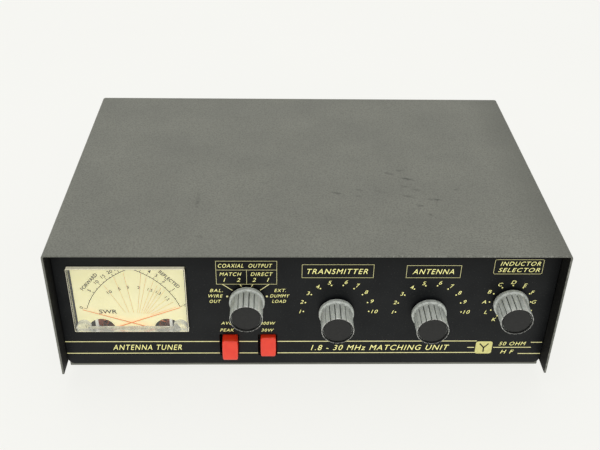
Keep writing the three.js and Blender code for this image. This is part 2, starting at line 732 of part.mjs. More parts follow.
// The pointer lies along +X from the pivot, in front of its staff and coil.
function needle({ length, front }) {
  const back = front + 0.2;
  const outline = new THREE.Shape();
  outline.moveTo(-9, -1.4);
  outline.lineTo(-5.4, -1.4);
  outline.lineTo(-5.4, -0.55);
  outline.lineTo(length, -0.2);
  outline.lineTo(length, 0.2);
  outline.lineTo(-5.4, 0.55);
  outline.lineTo(-5.4, 1.4);
  outline.lineTo(-9, 1.4);
  outline.closePath();
  const pointer = alongY(outline, [front, back]);
  const hub = rod(1.9, [front, front + 0.45]);
  const staff = rod(0.6, [front + 0.1, 35], 0, 0, 8);
  return join(pointer, hub, staff, rod(5.2, [19, 31]));
}

function lampBulb() {
  return turned([[0, 0], [2, 0.4], [2.9, 2], [2.9, 6], [2.2, 8], [2.6, 8.1], [2.6, 14], [0, 14]], 12);
}

place(stand, "meter_cover", meterCover(), "clear");
place(stand, "meter_housing", meterHousing(), "blackPlastic");
place(stand, "meter_dial", meterDial(), "cream");
place(stand, "meter_lamp", lampBulb(), "bulb", [meter.middle, lamp.front, lamp.z]);

for (const [name, spec, side] of [["forward", forwardNeedle, 1], ["reflected", reflectedNeedle, -1]]) {
  const at = [pivot.middle + side * pivot.half, 0, pivot.z];
  place(stand, `${name}_movement`, movement(), "steel", at);
  const pointing = side > 0 ? 180 + spec.rest : -spec.rest;
  const mesh = place(stand, `${name}_needle`, needle(spec), "needleRed", at);
  mesh.rotation.y = THREE.MathUtils.degToRad(pointing);
}

// ---- Back wall -------------------------------------------------------------------------

// Local y = 0 is the outer face of the back wall.
function coaxSocket() {
  const { flange, barrel, length, body } = socket;
  const plate = box(around(0, flange), [GAP, GAP + 2], around(0, flange));
  const tube = rod(barrel, [GAP + 1.9, GAP + 2 + length], 0, 0, 16);
  const inside = rod(body, [-8, GAP + 0.1]);
  const pin = rod(1.6, [-14, -7.9], 0, 0, 10);
  const end = GAP + 2 + length;
  return cut(join(plate, tube, inside, pin), rod(6.4, [end - 2, end + 1]), rod(2, [end - 12, end]));
}

function terminalPost() {
  const { stud, collar } = terminal;
  return join(
    rod(stud, [-12, rearmost - rearFace]),
    rod(collar, [GAP, 3.4], 0, 0, 16),
    rod(4.6, [-SHEET - GAP - 4, -SHEET - GAP], 0, 0, 6),
  );
}

function thumbNut() {
  const outline = new THREE.Shape();
  for (let i = 0; i < 24; i += 1) {
    const angle = (Math.PI * i) / 12;
    const r = terminal.knob - (i % 2) * 0.5;
    const point = [r * Math.cos(angle), r * Math.sin(angle)];
    if (i === 0) outline.moveTo(...point);
    else outline.lineTo(...point);
  }
  outline.closePath();
  return cut(alongY(outline, [3.7, 12.5]), rod(terminal.stud + GAP, [3, 14]));
}

function earthStud() {
  return join(
    rod(earth.stud, [-9, 13]),
    rod(7, [GAP, 1.7], 0, 0, 16),
    rod(5.4, [-SHEET - GAP - 4, -SHEET - GAP], 0, 0, 6),
  );
}

function wingNut() {
  const hub = turned([[0, 2], [5.4, 2], [4.6, 7.5], [0, 7.5]]);
  const outline = new THREE.Shape();
  outline.moveTo(3.6, 2.4);
  outline.lineTo(6.4, 2.4);
  outline.lineTo(12.8, 7.2);
  outline.absarc(10.6, 9.2, 3, -0.74, 2.3, false);
  outline.lineTo(3.6, 7);
  outline.closePath();
  const blades = [0, Math.PI].map((turn) => {
    const blade = new THREE.ExtrudeGeometry(outline, { depth: 1.8, bevelEnabled: false, curveSegments: 5 });
    return solid(blade.translate(0, 0, -0.9).rotateY(turn));
  });
  return cut(join(hub, ...blades), rod(earth.stud + GAP, [0, 9]));
}

function lampJack() {
  const { radius } = jack;
  const profile = [
    [0, -9],
    [radius - 0.6, -9],
    [radius - 0.6, -0.1],
    [radius - 0.3, -0.1],
    [radius - 0.3, GAP],
    [radius + 1.2, GAP],
    [radius + 1.2, 1.8],
    [radius - 0.6, 2.6],
    [0, 2.6],
  ];
  return cut(turned(profile), rod(1.75, [-6, 4]));
}

const socketNames = ["transmitter_socket", "antenna_one_socket", "antenna_two_socket", "dummy_load_socket"];
socket.places.forEach((x, i) => {
  place(stand, socketNames[i], coaxSocket(), "plated", [x, rearFace, socket.z]);
});

["one", "two"].forEach((word, i) => {
  const at = [terminal.places[i], rearFace, terminal.z];
  place(stand, `terminal_${word}_post`, terminalPost(), "brass", at);
  place(stand, `terminal_${word}_nut`, thumbNut(), "terminalRed", at);
});

place(stand, "earth_stud", earthStud(), "brass", [earth.x, rearFace, earth.z]);
place(stand, "earth_wing_nut", wingNut(), "brass", [earth.x, rearFace, earth.z]).rotation.y = Math.PI / 6;
place(stand, "lamp_jack", lampJack(), "blackPlastic", [jack.x, rearFace, jack.z]);

export default tuner;
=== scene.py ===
"""Antenna tuner: its looks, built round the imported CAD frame.

Shapes are made in the design frame, in millimetres: X to the right from the middle, Y from the cover's
front edge to the back, Z up from the cover's side edges. piece() moves them to the row frame, in metres.
"""

import math
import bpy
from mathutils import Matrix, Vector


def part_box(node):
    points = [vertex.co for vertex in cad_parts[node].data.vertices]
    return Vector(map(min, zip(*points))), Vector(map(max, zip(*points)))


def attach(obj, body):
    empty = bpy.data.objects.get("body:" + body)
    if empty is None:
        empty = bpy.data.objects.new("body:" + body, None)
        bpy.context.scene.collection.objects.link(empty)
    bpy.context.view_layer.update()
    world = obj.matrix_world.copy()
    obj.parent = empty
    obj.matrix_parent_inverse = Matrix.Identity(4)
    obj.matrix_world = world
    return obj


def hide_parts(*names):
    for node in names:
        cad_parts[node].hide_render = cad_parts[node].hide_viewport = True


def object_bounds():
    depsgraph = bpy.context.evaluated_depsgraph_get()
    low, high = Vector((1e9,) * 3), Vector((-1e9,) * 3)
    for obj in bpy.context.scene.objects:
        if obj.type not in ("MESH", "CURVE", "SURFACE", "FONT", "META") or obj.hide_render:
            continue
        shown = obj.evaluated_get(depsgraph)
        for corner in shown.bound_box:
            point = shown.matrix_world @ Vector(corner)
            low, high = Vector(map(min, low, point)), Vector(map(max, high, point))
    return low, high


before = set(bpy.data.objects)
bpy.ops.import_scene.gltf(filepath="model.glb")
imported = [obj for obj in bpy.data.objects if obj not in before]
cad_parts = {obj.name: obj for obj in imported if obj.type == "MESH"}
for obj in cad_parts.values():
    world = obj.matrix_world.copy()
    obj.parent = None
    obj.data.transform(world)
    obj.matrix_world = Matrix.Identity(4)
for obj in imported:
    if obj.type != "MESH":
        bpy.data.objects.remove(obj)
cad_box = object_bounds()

from types import SimpleNamespace

import bmesh
import bpy
from mathutils import Euler, Matrix, Vector
from mathutils.geometry import tessellate_polygon

scene = bpy.context.scene
MM = 0.001

PANEL_FRONT = 11.2
PANEL_BOTTOM = -1.9
panel_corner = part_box("front_panel")[0] - Vector((0, PANEL_FRONT, PANEL_BOTTOM)) * MM
TO_ROW = Matrix.Translation((0, panel_corner.y, panel_corner.z)) @ Matrix.Scale(MM, 4)
TO_DESIGN = TO_ROW.inverted()


def span(node):
    """A CAD node's box in the design frame."""
    low, high = (TO_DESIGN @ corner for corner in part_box(node))
    return SimpleNamespace(low=low, high=high, mid=(low + high) / 2, size=high - low)


cover = span("top_cover")
panel = span("front_panel")
chassis = span("chassis_tray")
window = span("meter_cover")
dial = span("meter_dial")
housing = span("meter_housing")
front = panel.low.y
sheet = panel.size.y
control_names = ("output", "transmitter", "antenna", "inductor")
controls = {name: span(f"{name}_knob") for name in control_names}

# Camera, floor and light.

camera_data = bpy.data.cameras.new("camera")
camera_data.lens = 50.96
camera = bpy.data.objects.new("camera", camera_data)
camera.location = TO_ROW @ Vector((-18.07, -386.74, 367.99))
camera.rotation_euler = Euler([math.radians(a) for a in (56.32, -0.945, -1.228)])
scene.collection.objects.link(camera)
scene.camera = camera


def light(name, place, target, width, height, power, colour=(1, 1, 1)):
    data = bpy.data.lights.new(name, "AREA")
    data.shape = "RECTANGLE"
    data.size, data.size_y = width, height
    data.energy = power
    data.color = colour
    lamp = bpy.data.objects.new(name, data)
    lamp.location = place
    lamp.rotation_euler = (Vector(target) - Vector(place)).to_track_quat("-Z", "Y").to_euler()
    scene.collection.objects.link(lamp)


light("overhead_softbox", (-0.2, 0.1, 1.8), (0, 0, 0), 2, 1.6, 15, (1, 0.995, 0.98))
light("front_softbox", (0.4, -1.6, 1.1), (0, 0, 0.05), 1.2, 0.9, 5, (1, 1, 1))

world = bpy.data.worlds.new("studio")
world.use_nodes = True
world.node_tree.nodes["Background"].inputs["Color"].default_value = (1, 0.998, 0.985, 1)
world.node_tree.nodes["Background"].inputs["Strength"].default_value = 0.6
scene.world = world
scene.view_settings.view_transform = "Standard"


# Outlines.


def arc(x, z, radius, start, end, steps):
    angles = [math.radians(start + (end - start) * i / steps) for i in range(steps + 1)]
    return [(x + radius * math.cos(a), z + radius * math.sin(a)) for a in angles]


def circle(x, z, radius, sides):
    return arc(x, z, radius, 0, 360, sides)[:-1]


def rounded(left, right, low, high, radius):
    """A rectangle with round corners, from its bottom right corner the way an angle grows."""
    middles = ((right - radius, low + radius), (right - radius, high - radius),
               (left + radius, high - radius), (left + radius, low + radius))
    return [point for quarter, (x, z) in enumerate(middles)
            for point in arc(x, z, radius, 90 * quarter - 90, 90 * quarter, 5)]


def around(box, gap, radius):
    """A box's front outline with round corners, wider by the gap on each side."""
    return rounded(box.low.x - gap, box.high.x + gap, box.low.z - gap, box.high.z + gap, radius)


def wound(loop, clockwise):
    area = sum(a[0] * b[1] - b[0] * a[1] for a, b in zip(loop, loop[1:] + loop[:1]))
    return loop if (area < 0) == clockwise else loop[::-1]


def inset(loop, amount):
    """Each corner moves to the left of the way round: an outside shrinks and a hole grows."""
    points = [Vector(point) for point in loop]
    moved = []
    for before, here, after in zip(points[-1:] + points[:-1], points, points[1:] + points[:1]):
        first = (here - before).normalized()
        second = (after - here).normalized()
        left = Vector((-first.y - second.y, first.x + second.x))
        moved.append(here + left * amount / (1 + first.dot(second)))
    return moved


def stroke(points, width):
    """The outline of a line of even width through the points."""
    path = [Vector(point) for point in points]
    sides = ([], [])
    for i, here in enumerate(path):
        ahead = (path[min(i + 1, len(path) - 1)] - path[max(i - 1, 0)]).normalized()
        across = Vector((-ahead.y, ahead.x)) * width / 2
        sides[0].append(tuple(here + across))
        sides[1].append(tuple(here - across))
    return sides[0] + sides[1][::-1]


# Forms: closed meshes in the design frame.

AXES = {
    "x": Matrix(((0, 1, 0, 0), (1, 0, 0, 0), (0, 0, 1, 0), (0, 0, 0, 1))),
    "y": Matrix.Identity(4),
    "z": Matrix(((1, 0, 0, 0), (0, 0, 1, 0), (0, 1, 0, 0), (0, 0, 0, 1))),
}


def skin(form, low, high):
    """Faces between two rings, of which one may be a single point."""
    count = max(len(low), len(high))
    for i in range(count):
        j = (i + 1) % count
        corners = [low[i % len(low)], low[j % len(low)], high[j % len(high)], high[i % len(high)]]
        form.faces.new(list(dict.fromkeys(corners)))


def closed(form, axis="y"):
    form.transform(AXES[axis])
    bmesh.ops.recalc_face_normals(form, faces=form.faces)
    return form


def plate(loops, near, far, rounding=0.15, steps=3, axis="y"):
    """Outlines, the first outside and the rest holes, made solid along the axis, with rounded edges."""
    form = bmesh.new()
    turns = [math.pi / 2 * k / steps for k in range(steps + 1)] if rounding else [math.pi / 2]
    edge = [(rounding * (1 - math.sin(a)), rounding * (1 - math.cos(a))) for a in turns]
    levels = [(shift, near + depth) for shift, depth in edge]
    levels += [(shift, far - depth) for shift, depth in reversed(edge)]
    stacks = []
    for number, loop in enumerate(loops):
        loop = wound([tuple(point) for point in loop], clockwise=number > 0)
        rings = [[form.verts.new((p.x, level, p.y)) for p in inset(loop, shift)] for shift, level in levels]
        for low, high in zip(rings, rings[1:]):
            skin(form, low, high)
        stacks.append(rings)
    for end in (0, -1):
        rings = [rings[end] for rings in stacks]
        corners = [corner for ring in rings for corner in ring]
        for triangle in tessellate_polygon([[(v.co.x, v.co.z, 0) for v in ring] for ring in rings]):
            form.faces.new([corners[i] for i in triangle])
    return closed(form, axis)


def lathe(profile, sides=48, shape=None, ring=False, axis="y"):
    """A profile of (radius, y) points turned about Y. It ends on the axis, or closes on itself as a ring."""
    form = bmesh.new()
    rings = []
    for radius, y in profile:
        if radius == 0:
            rings.append([form.verts.new((0, y, 0))])
            continue
        corners = []
        for i in range(sides):
            angle = 2 * math.pi * i / sides
            r = shape(radius, angle, y) if shape else radius
            corners.append(form.verts.new((r * math.cos(angle), y, r * math.sin(angle))))
        rings.append(corners)
    for low, high in zip(rings, rings[1:] + rings[:1] if ring else rings[1:]):
        skin(form, low, high)
    return closed(form, axis)


def tube(points, radius):
    """A round wire through the points, with flat ends."""
    angles = [2 * math.pi * k / 10 for k in range(10)]
    form = bmesh.new()
    path = [Vector(point) for point in points]
    rings = []
    side = (path[1] - path[0]).orthogonal().normalized()
    for i, here in enumerate(path):
        ahead = (path[min(i + 1, len(path) - 1)] - path[max(i - 1, 0)]).normalized()
        side = (side - ahead * side.dot(ahead)).normalized()
        up = ahead.cross(side)
        around_it = [side * math.cos(a) + up * math.sin(a) for a in angles]
        rings.append([form.verts.new(here + outward * radius) for outward in around_it])
    for low, high in zip(rings, rings[1:]):
        skin(form, low, high)
    form.faces.new(rings[0])
    form.faces.new(rings[-1])
    return closed(form)


def block(low, high, radius=0.3, cuts=0, segments=3):
    """A box with rounded edges, its faces divided by the cuts."""
    form = bmesh.new()
    bmesh.ops.create_cube(form, size=1)
    low, high = Vector(low), Vector(high)
    form.transform(Matrix.Translation((low + high) / 2) @ Matrix.Diagonal((*(high - low), 1)))
    if cuts:
        bmesh.ops.subdivide_edges(form, edges=form.edges, cuts=cuts, use_grid_fill=True)
    sharp = [edge for edge in form.edges if edge.calc_face_angle(0) > 1]
    bmesh.ops.bevel(form, geom=sharp, offset=radius, segments=segments, profile=0.5, affect="EDGES")
    return closed(form)


def at(form, x=0, y=0, z=0, turn=0, about="Y"):
    form.transform(Matrix.Translation((x, y, z)) @ Matrix.Rotation(math.radians(turn), 4, about))
    return form


def joined(*forms):
    whole = bmesh.new()
    for form in forms:
        mesh = bpy.data.meshes.new("joining")
        form.to_mesh(mesh)
        form.free()
        whole.from_mesh(mesh)
        bpy.data.meshes.remove(mesh)
    return whole


def combined(form, tool, operation="DIFFERENCE"):
    holders = []
    for part in (form, tool):
        mesh = bpy.data.meshes.new("combining")
        part.to_mesh(mesh)
        part.free()
        holder = bpy.data.objects.new("combining", mesh)
        scene.collection.objects.link(holder)
        holders.append(holder)
    change = holders[0].modifiers.new("change", "BOOLEAN")
    change.operation = operation
    change.solver = "EXACT"
    change.object = holders[1]
    bpy.context.view_layer.update()
    result = bmesh.new()
    result.from_object(holders[0], bpy.context.evaluated_depsgraph_get())
    for holder in holders:
        mesh = holder.data
        bpy.data.objects.remove(holder)
        bpy.data.meshes.remove(mesh)
    return result


def painted(form, number, test=lambda centre: True):
    """Gives the faces whose middle passes the test the piece's material of that number."""
    for face in form.faces:
        if test(face.calc_center_median()):
            face.material_index = number
    return form


INK = 0.05  # how far printing stands out


def lettering(text, x, z, height, length=None, face=0.0, slant=0.0, weight=0.012, turn=0, spacing=1.0):
    """Text facing -Y, its middle at (x, z), scaled to its height and, if given, its length."""
    curve = bpy.data.curves.new("text", "FONT")
    curve.body = text
    curve.extrude = 0.5
    curve.shear = slant
    curve.offset = weight
    curve.space_character = spacing
    curve.resolution_u = 4
    holder = bpy.data.objects.new("text", curve)
    scene.collection.objects.link(holder)
    bpy.context.view_layer.update()
    mesh = bpy.data.meshes.new_from_object(holder.evaluated_get(bpy.context.evaluated_depsgraph_get()))
    form = bmesh.new()
    form.from_mesh(mesh)
    bpy.data.objects.remove(holder)
    bpy.data.curves.remove(curve)
    bpy.data.meshes.remove(mesh)
    bmesh.ops.remove_doubles(form, verts=form.verts, dist=1e-5)
    low = [min(v.co[i] for v in form.verts) for i in (0, 1)]
    high = [max(v.co[i] for v in form.verts) for i in (0, 1)]
    tall = height / (high[1] - low[1])
    wide = length / (high[0] - low[0]) if length else tall * 1.1
    form.transform(Matrix.Translation((-(low[0] + high[0]) / 2, -(low[1] + high[1]) / 2, 0.5)))
    form.transform(AXES["z"] @ Matrix.Diagonal((wide, tall, -INK, 1)))
    return at(closed(form), x, face, z, -turn)


def inked(*outlines, face):
    """Printed shapes, each a list of outlines, facing -Y."""
    return joined(*[plate(loops, face - INK, face, rounding=0) for loops in outlines])


# Finishes.

NOISE_LOW, NOISE_HIGH = 0.32, 0.68  # most of a noise lies between them


def srgb(colour):
    channels = (value / 255 for value in colour)
    return (*[c / 12.92 if c <= 0.04045 else ((c + 0.055) / 1.055) ** 2.4 for c in channels], 1)


class Finish:
    """A procedural material: patches of colour, patches of gloss and a fine bump, all sized in mm."""

    def __init__(self, name, light, dark, patch, rough, grain, depth, stretch=(1, 1, 1), glow=None,
                 strength=0.0, **sockets):
        self.material = bpy.data.materials.new(name)
        self.material.use_nodes = True
        self.tree = self.material.node_tree
        self.shader = self.tree.nodes["Principled BSDF"]
        self.place = self.add("TexCoord").outputs["Object"]
        if glow:
            sockets.update(Emission_Color=srgb(glow), Emission_Strength=strength)
        for socket, value in sockets.items():
            self.shader.inputs[socket.replace("_", " ")].default_value = value
        self.colour = self.ramp(self.noise(patch, 4, stretch), dark, light)
        self.gloss = self.spread(self.noise(patch * 0.7, 5, stretch), *rough)
        height = self.noise(grain, 3, stretch)
        relief = self.add("Bump", Height=height, Distance=depth * MM)
        self.tree.links.new(relief.outputs[0], self.shader.inputs["Normal"])

    def feed(self, socket, value):
        if isinstance(value, bpy.types.NodeSocket):
            self.tree.links.new(value, socket)
        else:
            socket.default_value = value

    def add(self, kind, **inputs):
        node = self.tree.nodes.new("ShaderNode" + kind)
        for name, value in inputs.items():
            self.feed(node.inputs[name.replace("_", " ")], value)
        return node

    def noise(self, size, detail=3, stretch=(1, 1, 1)):
        where = self.add("Mapping", Vector=self.place, Scale=stretch)
        return self.add("TexNoise", Vector=where.outputs[0], Scale=1 / (size * MM), Detail=detail).outputs[0]

    def spread(self, value, low, high, start=NOISE_LOW, end=NOISE_HIGH):
        node = self.add("MapRange", Value=value, From_Min=start, From_Max=end, To_Min=low, To_Max=high)
        return node.outputs[0]

    def maths(self, operation, first, second):
        node = self.add("Math")
        node.operation = operation
        for socket, value in zip(node.inputs, (first, second)):
            self.feed(socket, value)
        return node.outputs[0]

    def ramp(self, value, dark, light):
        node = self.add("ValToRGB", Fac=value)
        stops = ((NOISE_LOW, dark), (NOISE_HIGH, light))
        for element, (position, colour) in zip(node.color_ramp.elements, stops):
            element.position = position
            element.color = srgb(colour)
        return node.outputs[0]

    def cover(self, factor, colour):
        """Lays a colour over the ones so far by the factor."""
        node = self.add("Mix")
        node.data_type = "RGBA"
        sockets = {socket.identifier: socket for socket in node.inputs}
        for key, value in (("Factor_Float", factor), ("A_Color", self.colour), ("B_Color", srgb(colour))):
            self.feed(sockets[key], value)
        self.colour = {socket.identifier: socket for socket in node.outputs}["Result_Color"]

    def axis(self, letter):
        return self.add("SeparateXYZ", Vector=self.place).outputs["XYZ".index(letter)]

    def done(self):
        self.tree.links.new(self.colour, self.shader.inputs["Base Color"])
        self.tree.links.new(self.gloss, self.shader.inputs["Roughness"])
        return self.material


def finish(name, light, dark, patch, rough, grain, depth, **more):
    return Finish(name, light, dark, patch, rough, grain, depth, **more).done()


# Scuffs on the cover's top: the middle, the length and the turn of each, and how dark it is.
SCUFFS = (
    (20, 67, 9.5, -27, 0.5), (34, 71, 5, -8, 0.45), (33, 64, 5, -10, 0.4), (48, 69, 11.6, -25, 0.35),
    (55, 92, 9, -25, 0.5), (63, 96, 6.5, 0, 0.5), (66, 85, 9, -22, 0.8), (63, 76, 6, -15, 0.5),
    (70, 72, 6.6, -22, 0.5), (64, 64, 11.6, -25, 0.5), (80, 60, 10, -8, 0.7), (70, 53, 5.5, -20, 0.5),
    (96, 72, 6, 0, 0.35), (75, 43, 3, 0, 0.5), (-67, 58, 21, 90, 0.4), (-63, 19, 5, 0, 0.5),
    (-26, 80, 6, 0, 0.3),
)


def cover_paint():
    """Grey-olive textured enamel, scuffed on top and worn along the front edge, with painted shade towards
    the top's right edge.
    """
    paint = Finish("cover_enamel", (124, 125, 116), (117, 118, 110), 35, (0.5, 0.6), 0.55, 0.09,
                   Specular_IOR_Level=0.3)
    fine = paint.noise(1.0, 4)
    paint.cover(paint.spread(fine, 0, 0.6, 0.42, 0.7), (84, 85, 78))
    broken = paint.spread(paint.noise(1.6, 3, (0.6, 1.8, 1)), 0.2, 1.6, 0.4, 0.62)
    for x, y, length, turn, share in SCUFFS:
        mark = paint.maths("MULTIPLY", scuff(paint, x, y, length, turn, share), broken)
        paint.cover(mark, (80, 81, 75))
    # Painted shade: the top grows darker over its last 28 mm towards the right edge.
    right_edge_shade = paint.spread(paint.axis("X"), 0, 0.5, 0.122, 0.15)
    paint.cover(right_edge_shade, (88, 89, 82))
    edge = paint.spread(paint.axis("Y"), 1, 0, panel_corner.y + 0.1 * MM, panel_corner.y + 0.5 * MM)
    chips = paint.spread(paint.noise(0.8, 3, (1, 0.3, 0.3)), 0, 0.55, 0.5, 0.68)
    side = paint.spread(paint.axis("X"), 0.25, 1, -0.03, 0.06)
    worn = paint.maths("MULTIPLY", paint.maths("MULTIPLY", edge, chips), side)
    paint.cover(worn, (176, 176, 166))
    return paint.done()


def scuff(paint, x, y, length, turn, share):
    """A thin faded streak on the cover's top."""
    place = paint.add(
        "Mapping", Vector=paint.place, Location=(x * MM, y * MM + panel_corner.y, 0),
        Rotation=(0, 0, math.radians(turn)), Scale=(length * 0.6 * MM, 1.7 * MM, 1))
    place.vector_type = "TEXTURE"
    ball = paint.add("VectorMath", Vector=place.outputs[0])
    ball.operation = "LENGTH"
    return paint.spread(ball.outputs["Value"], share, 0, 0.35, 1)


def panel_paint():
    """Satin black with dust, darker and duller towards the top: the darkening is painted shade from the
    cover's overhang.
    """
    paint = Finish("panel_satin_black", (24, 26, 27), (15, 17, 19), 18, (0.36, 0.46), 0.35, 0.012,
                   Specular_IOR_Level=0.18)
    dust = paint.spread(paint.noise(0.9, 2), 0, 0.16, 0.62, 0.75)
    paint.cover(dust, (120, 120, 116))
    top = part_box("front_panel")[1].z
    # Painted shade: the colour darkens to near black towards the top, where the cover's overhang shadows the
    # panel, and the roughness rises there.
    overhang_shade = paint.spread(paint.axis("Z"), 0, 0.85, top - 24 * MM, top - 2 * MM)
    paint.cover(overhang_shade, (5, 6, 7))
    paint.gloss = paint.maths("ADD", paint.gloss, paint.maths("MULTIPLY", overhang_shade, 0.2))
    return paint.done()


def dial_card():
    """Cream card, a little darker towards its top, where the housing shades it."""
    # The glow is painted light: the card glows so that it looks lit through the clear window.
    paint = Finish("dial_cream", (252, 246, 204), (248, 240, 192), 16, (0.5, 0.6), 0.15, 0.002,
                   glow=(252, 244, 196), strength=0.5)
    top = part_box("meter_dial")[1].z
    shade = paint.spread(paint.axis("Z"), 0, 0.35, top - 26 * MM, top)
    paint.cover(shade, (226, 208, 140))
    return paint.done()


def turned_metal(name, light_colour, dark_colour, rough=(0.22, 0.36)):
    return finish(name, light_colour, dark_colour, 3, rough, 0.25, 0.004, stretch=(1, 4, 1), Metallic=1.0)


# After its name, each finish has its light and dark colour, the size of its patches in mm, its range of
# roughness, the size of its grain in mm and the depth of its bump in mm.

cover_enamel = cover_paint()
# Painted shade: the inside of the cover is the same enamel as the outside, made near black for the shade
# inside the hood.
cover_inside_shade = finish("cover_inside_painted_shade", (18, 18, 15), (12, 12, 10), 6, (0.6, 0.75), 0.6, 0.06,
                      Specular_IOR_Level=0.3)
satin_black = panel_paint()
acrylic = finish("clear_acrylic", (250, 251, 248), (244, 246, 240), 20, (0.01, 0.03), 6, 0.004,
                 Transmission_Weight=1.0, IOR=1.49)
# Painted highlight: the clear box's rounded edges and top are cream, part opaque and glowing, for the light
# the acrylic's edges carry.
acrylic_edge_highlight = finish("acrylic_edge_painted_highlight", (248, 242, 216), (224, 217, 186), 2.5, (0.15, 0.3), 0.8, 0.01,
                      Transmission_Weight=0.3, IOR=1.49, glow=(248, 242, 214), strength=0.35)
# Frosted acrylic for the sill's top and the pegs; its glow is painted light that keeps the band bright.
acrylic_frost = finish("acrylic_frosted", (244, 244, 236), (198, 198, 190), 2.6, (0.2, 0.4), 0.8, 0.01,
                       stretch=(0.6, 0.4, 0.35), Transmission_Weight=0.4, IOR=1.49, glow=(238, 236, 226),
                       strength=0.16)
cream = dial_card()
# The inks' glow is painted light, which keeps the print bright.
gold_ink = finish("gold_ink", (228, 223, 166), (204, 197, 140), 2.5, (0.4, 0.55), 0.2, 0.004,
                  glow=(220, 214, 150), strength=0.36)
yellow_ink = finish("yellow_ink", (250, 246, 168), (238, 231, 142), 1.6, (0.4, 0.55), 0.2, 0.004,
                    glow=(244, 240, 156), strength=0.36)
badge_ink = finish("badge_ink", (226, 221, 146), (208, 201, 124), 1.6, (0.4, 0.55), 0.2, 0.004,
                   glow=(226, 221, 146), strength=0.1)
black_ink = finish("black_ink", (24, 22, 15), (14, 13, 9), 1, (0.5, 0.6), 0.1, 0.002)
# Its glow is painted light too.
red_ink = finish("red_ink", (232, 172, 124), (222, 156, 108), 1, (0.5, 0.6), 0.1, 0.002,
                 glow=(232, 172, 124), strength=0.3)
knob_grey = finish("knob_grey_plastic", (222, 227, 220), (188, 193, 186), 2, (0.22, 0.34), 0.3, 0.008,
                   stretch=(1, 0.25, 1), Specular_IOR_Level=0.7)
# Painted shade: the grip's grooves are a darker grey than its lands, for the shade in them.
knob_groove_shade = finish("knob_groove_painted_shade", (116, 119, 114), (84, 87, 82), 2, (0.35, 0.5), 0.3, 0.008,
                     stretch=(1, 0.25, 1))
# Painted highlight: the grip's front rim is light and a little metallic, for the light its rounded edge
# catches; dark patches break it up.
knob_rim_highlight = finish("knob_rim_painted_highlight", (238, 238, 232), (130, 131, 126), 1.6, (0.15, 0.28), 0.2, 0.006,
                  Metallic=0.2, Specular_IOR_Level=0.8)
disc_black = finish("knob_disc_black", (28, 28, 27), (20, 20, 19), 2, (0.34, 0.46), 0.12, 0.004,
                    Specular_IOR_Level=0.35)
index_white = finish("index_white", (244, 244, 238), (222, 222, 214), 1, (0.35, 0.5), 0.2, 0.003)
button_red = finish("button_red_plastic", (252, 62, 30), (246, 52, 24), 5, (0.3, 0.36), 1.5, 0.001,
                    Coat_Weight=0.2, Coat_Roughness=0.15)
white_plastic = finish("white_nylon", (232, 230, 220), (218, 215, 202), 4, (0.4, 0.55), 0.4, 0.006,
                       Subsurface_Weight=0.1)
black_plastic = finish("black_phenolic", (34, 33, 34), (24, 23, 24), 3, (0.35, 0.55), 0.35, 0.01)
# The glow is painted light, which keeps the pointers bright behind the clear window.
needle_red = finish("needle_red_enamel", (250, 166, 108), (244, 150, 92), 1.5, (0.35, 0.5), 0.15, 0.002,
                    glow=(250, 160, 100), strength=0.3)
rubber = finish("foot_rubber", (34, 34, 33), (22, 22, 22), 2.5, (0.72, 0.88), 0.4, 0.03)
chassis_enamel = finish("chassis_enamel", (122, 123, 113), (110, 111, 102), 12, (0.45, 0.6), 0.5, 0.03,
                        Specular_IOR_Level=0.3)
# The glow is painted light: it makes the bridge bar show white in the shade inside the housing.
bridge_white = finish("bridge_white", (246, 246, 242), (226, 226, 222), 1.5, (0.3, 0.45), 0.2, 0.003,
                      glow=(246, 246, 242), strength=0.4)
plated = turned_metal("nickel_plate", (206, 203, 196), (176, 173, 166))
silver = turned_metal("silvered_contact", (226, 226, 224), (198, 197, 192), (0.18, 0.3))
brass = turned_metal("brass", (206, 168, 92), (176, 138, 66))
aluminium = finish("aluminium_plate", (206, 208, 210), (184, 186, 188), 5, (0.28, 0.42), 0.3, 0.006,
                   stretch=(0.2, 1, 1), Metallic=1.0)
copper = finish("enamelled_copper", (196, 112, 62), (168, 84, 40), 2.5, (0.22, 0.34), 0.4, 0.004,
                Metallic=0.9, Coat_Weight=0.5)
ceramic = finish("steatite_ceramic", (236, 231, 214), (222, 214, 194), 4, (0.3, 0.42), 0.3, 0.01,
                 Coat_Weight=0.2)
ferrite = finish("ferrite_core", (66, 68, 70), (46, 48, 50), 2, (0.6, 0.75), 0.25, 0.02)
board_green = finish("board_solder_mask", (44, 92, 54), (30, 70, 40), 3, (0.28, 0.42), 0.5, 0.01,
                     Coat_Weight=0.3)
terminal_red = finish("terminal_red_plastic", (176, 34, 26), (152, 24, 18), 2.5, (0.3, 0.42), 0.3, 0.006)
phenolic_brown = finish("brown_phenolic", (176, 96, 74), (138, 68, 50), 1.2, (0.4, 0.55), 0.25, 0.008,
                        stretch=(0.4, 1, 1))
dark_steel = finish("magnet_dark_steel", (70, 72, 72), (44, 46, 47), 2, (0.35, 0.5), 0.3, 0.012,
                    Metallic=0.6)
lamp_glass = finish("lamp_glass", (250, 244, 226), (244, 234, 208), 3, (0.02, 0.06), 2, 0.003,
                    Transmission_Weight=0.9, IOR=1.5)

# Pieces.

CREASE = 35  # faces that meet at more degrees than this keep a sharp edge


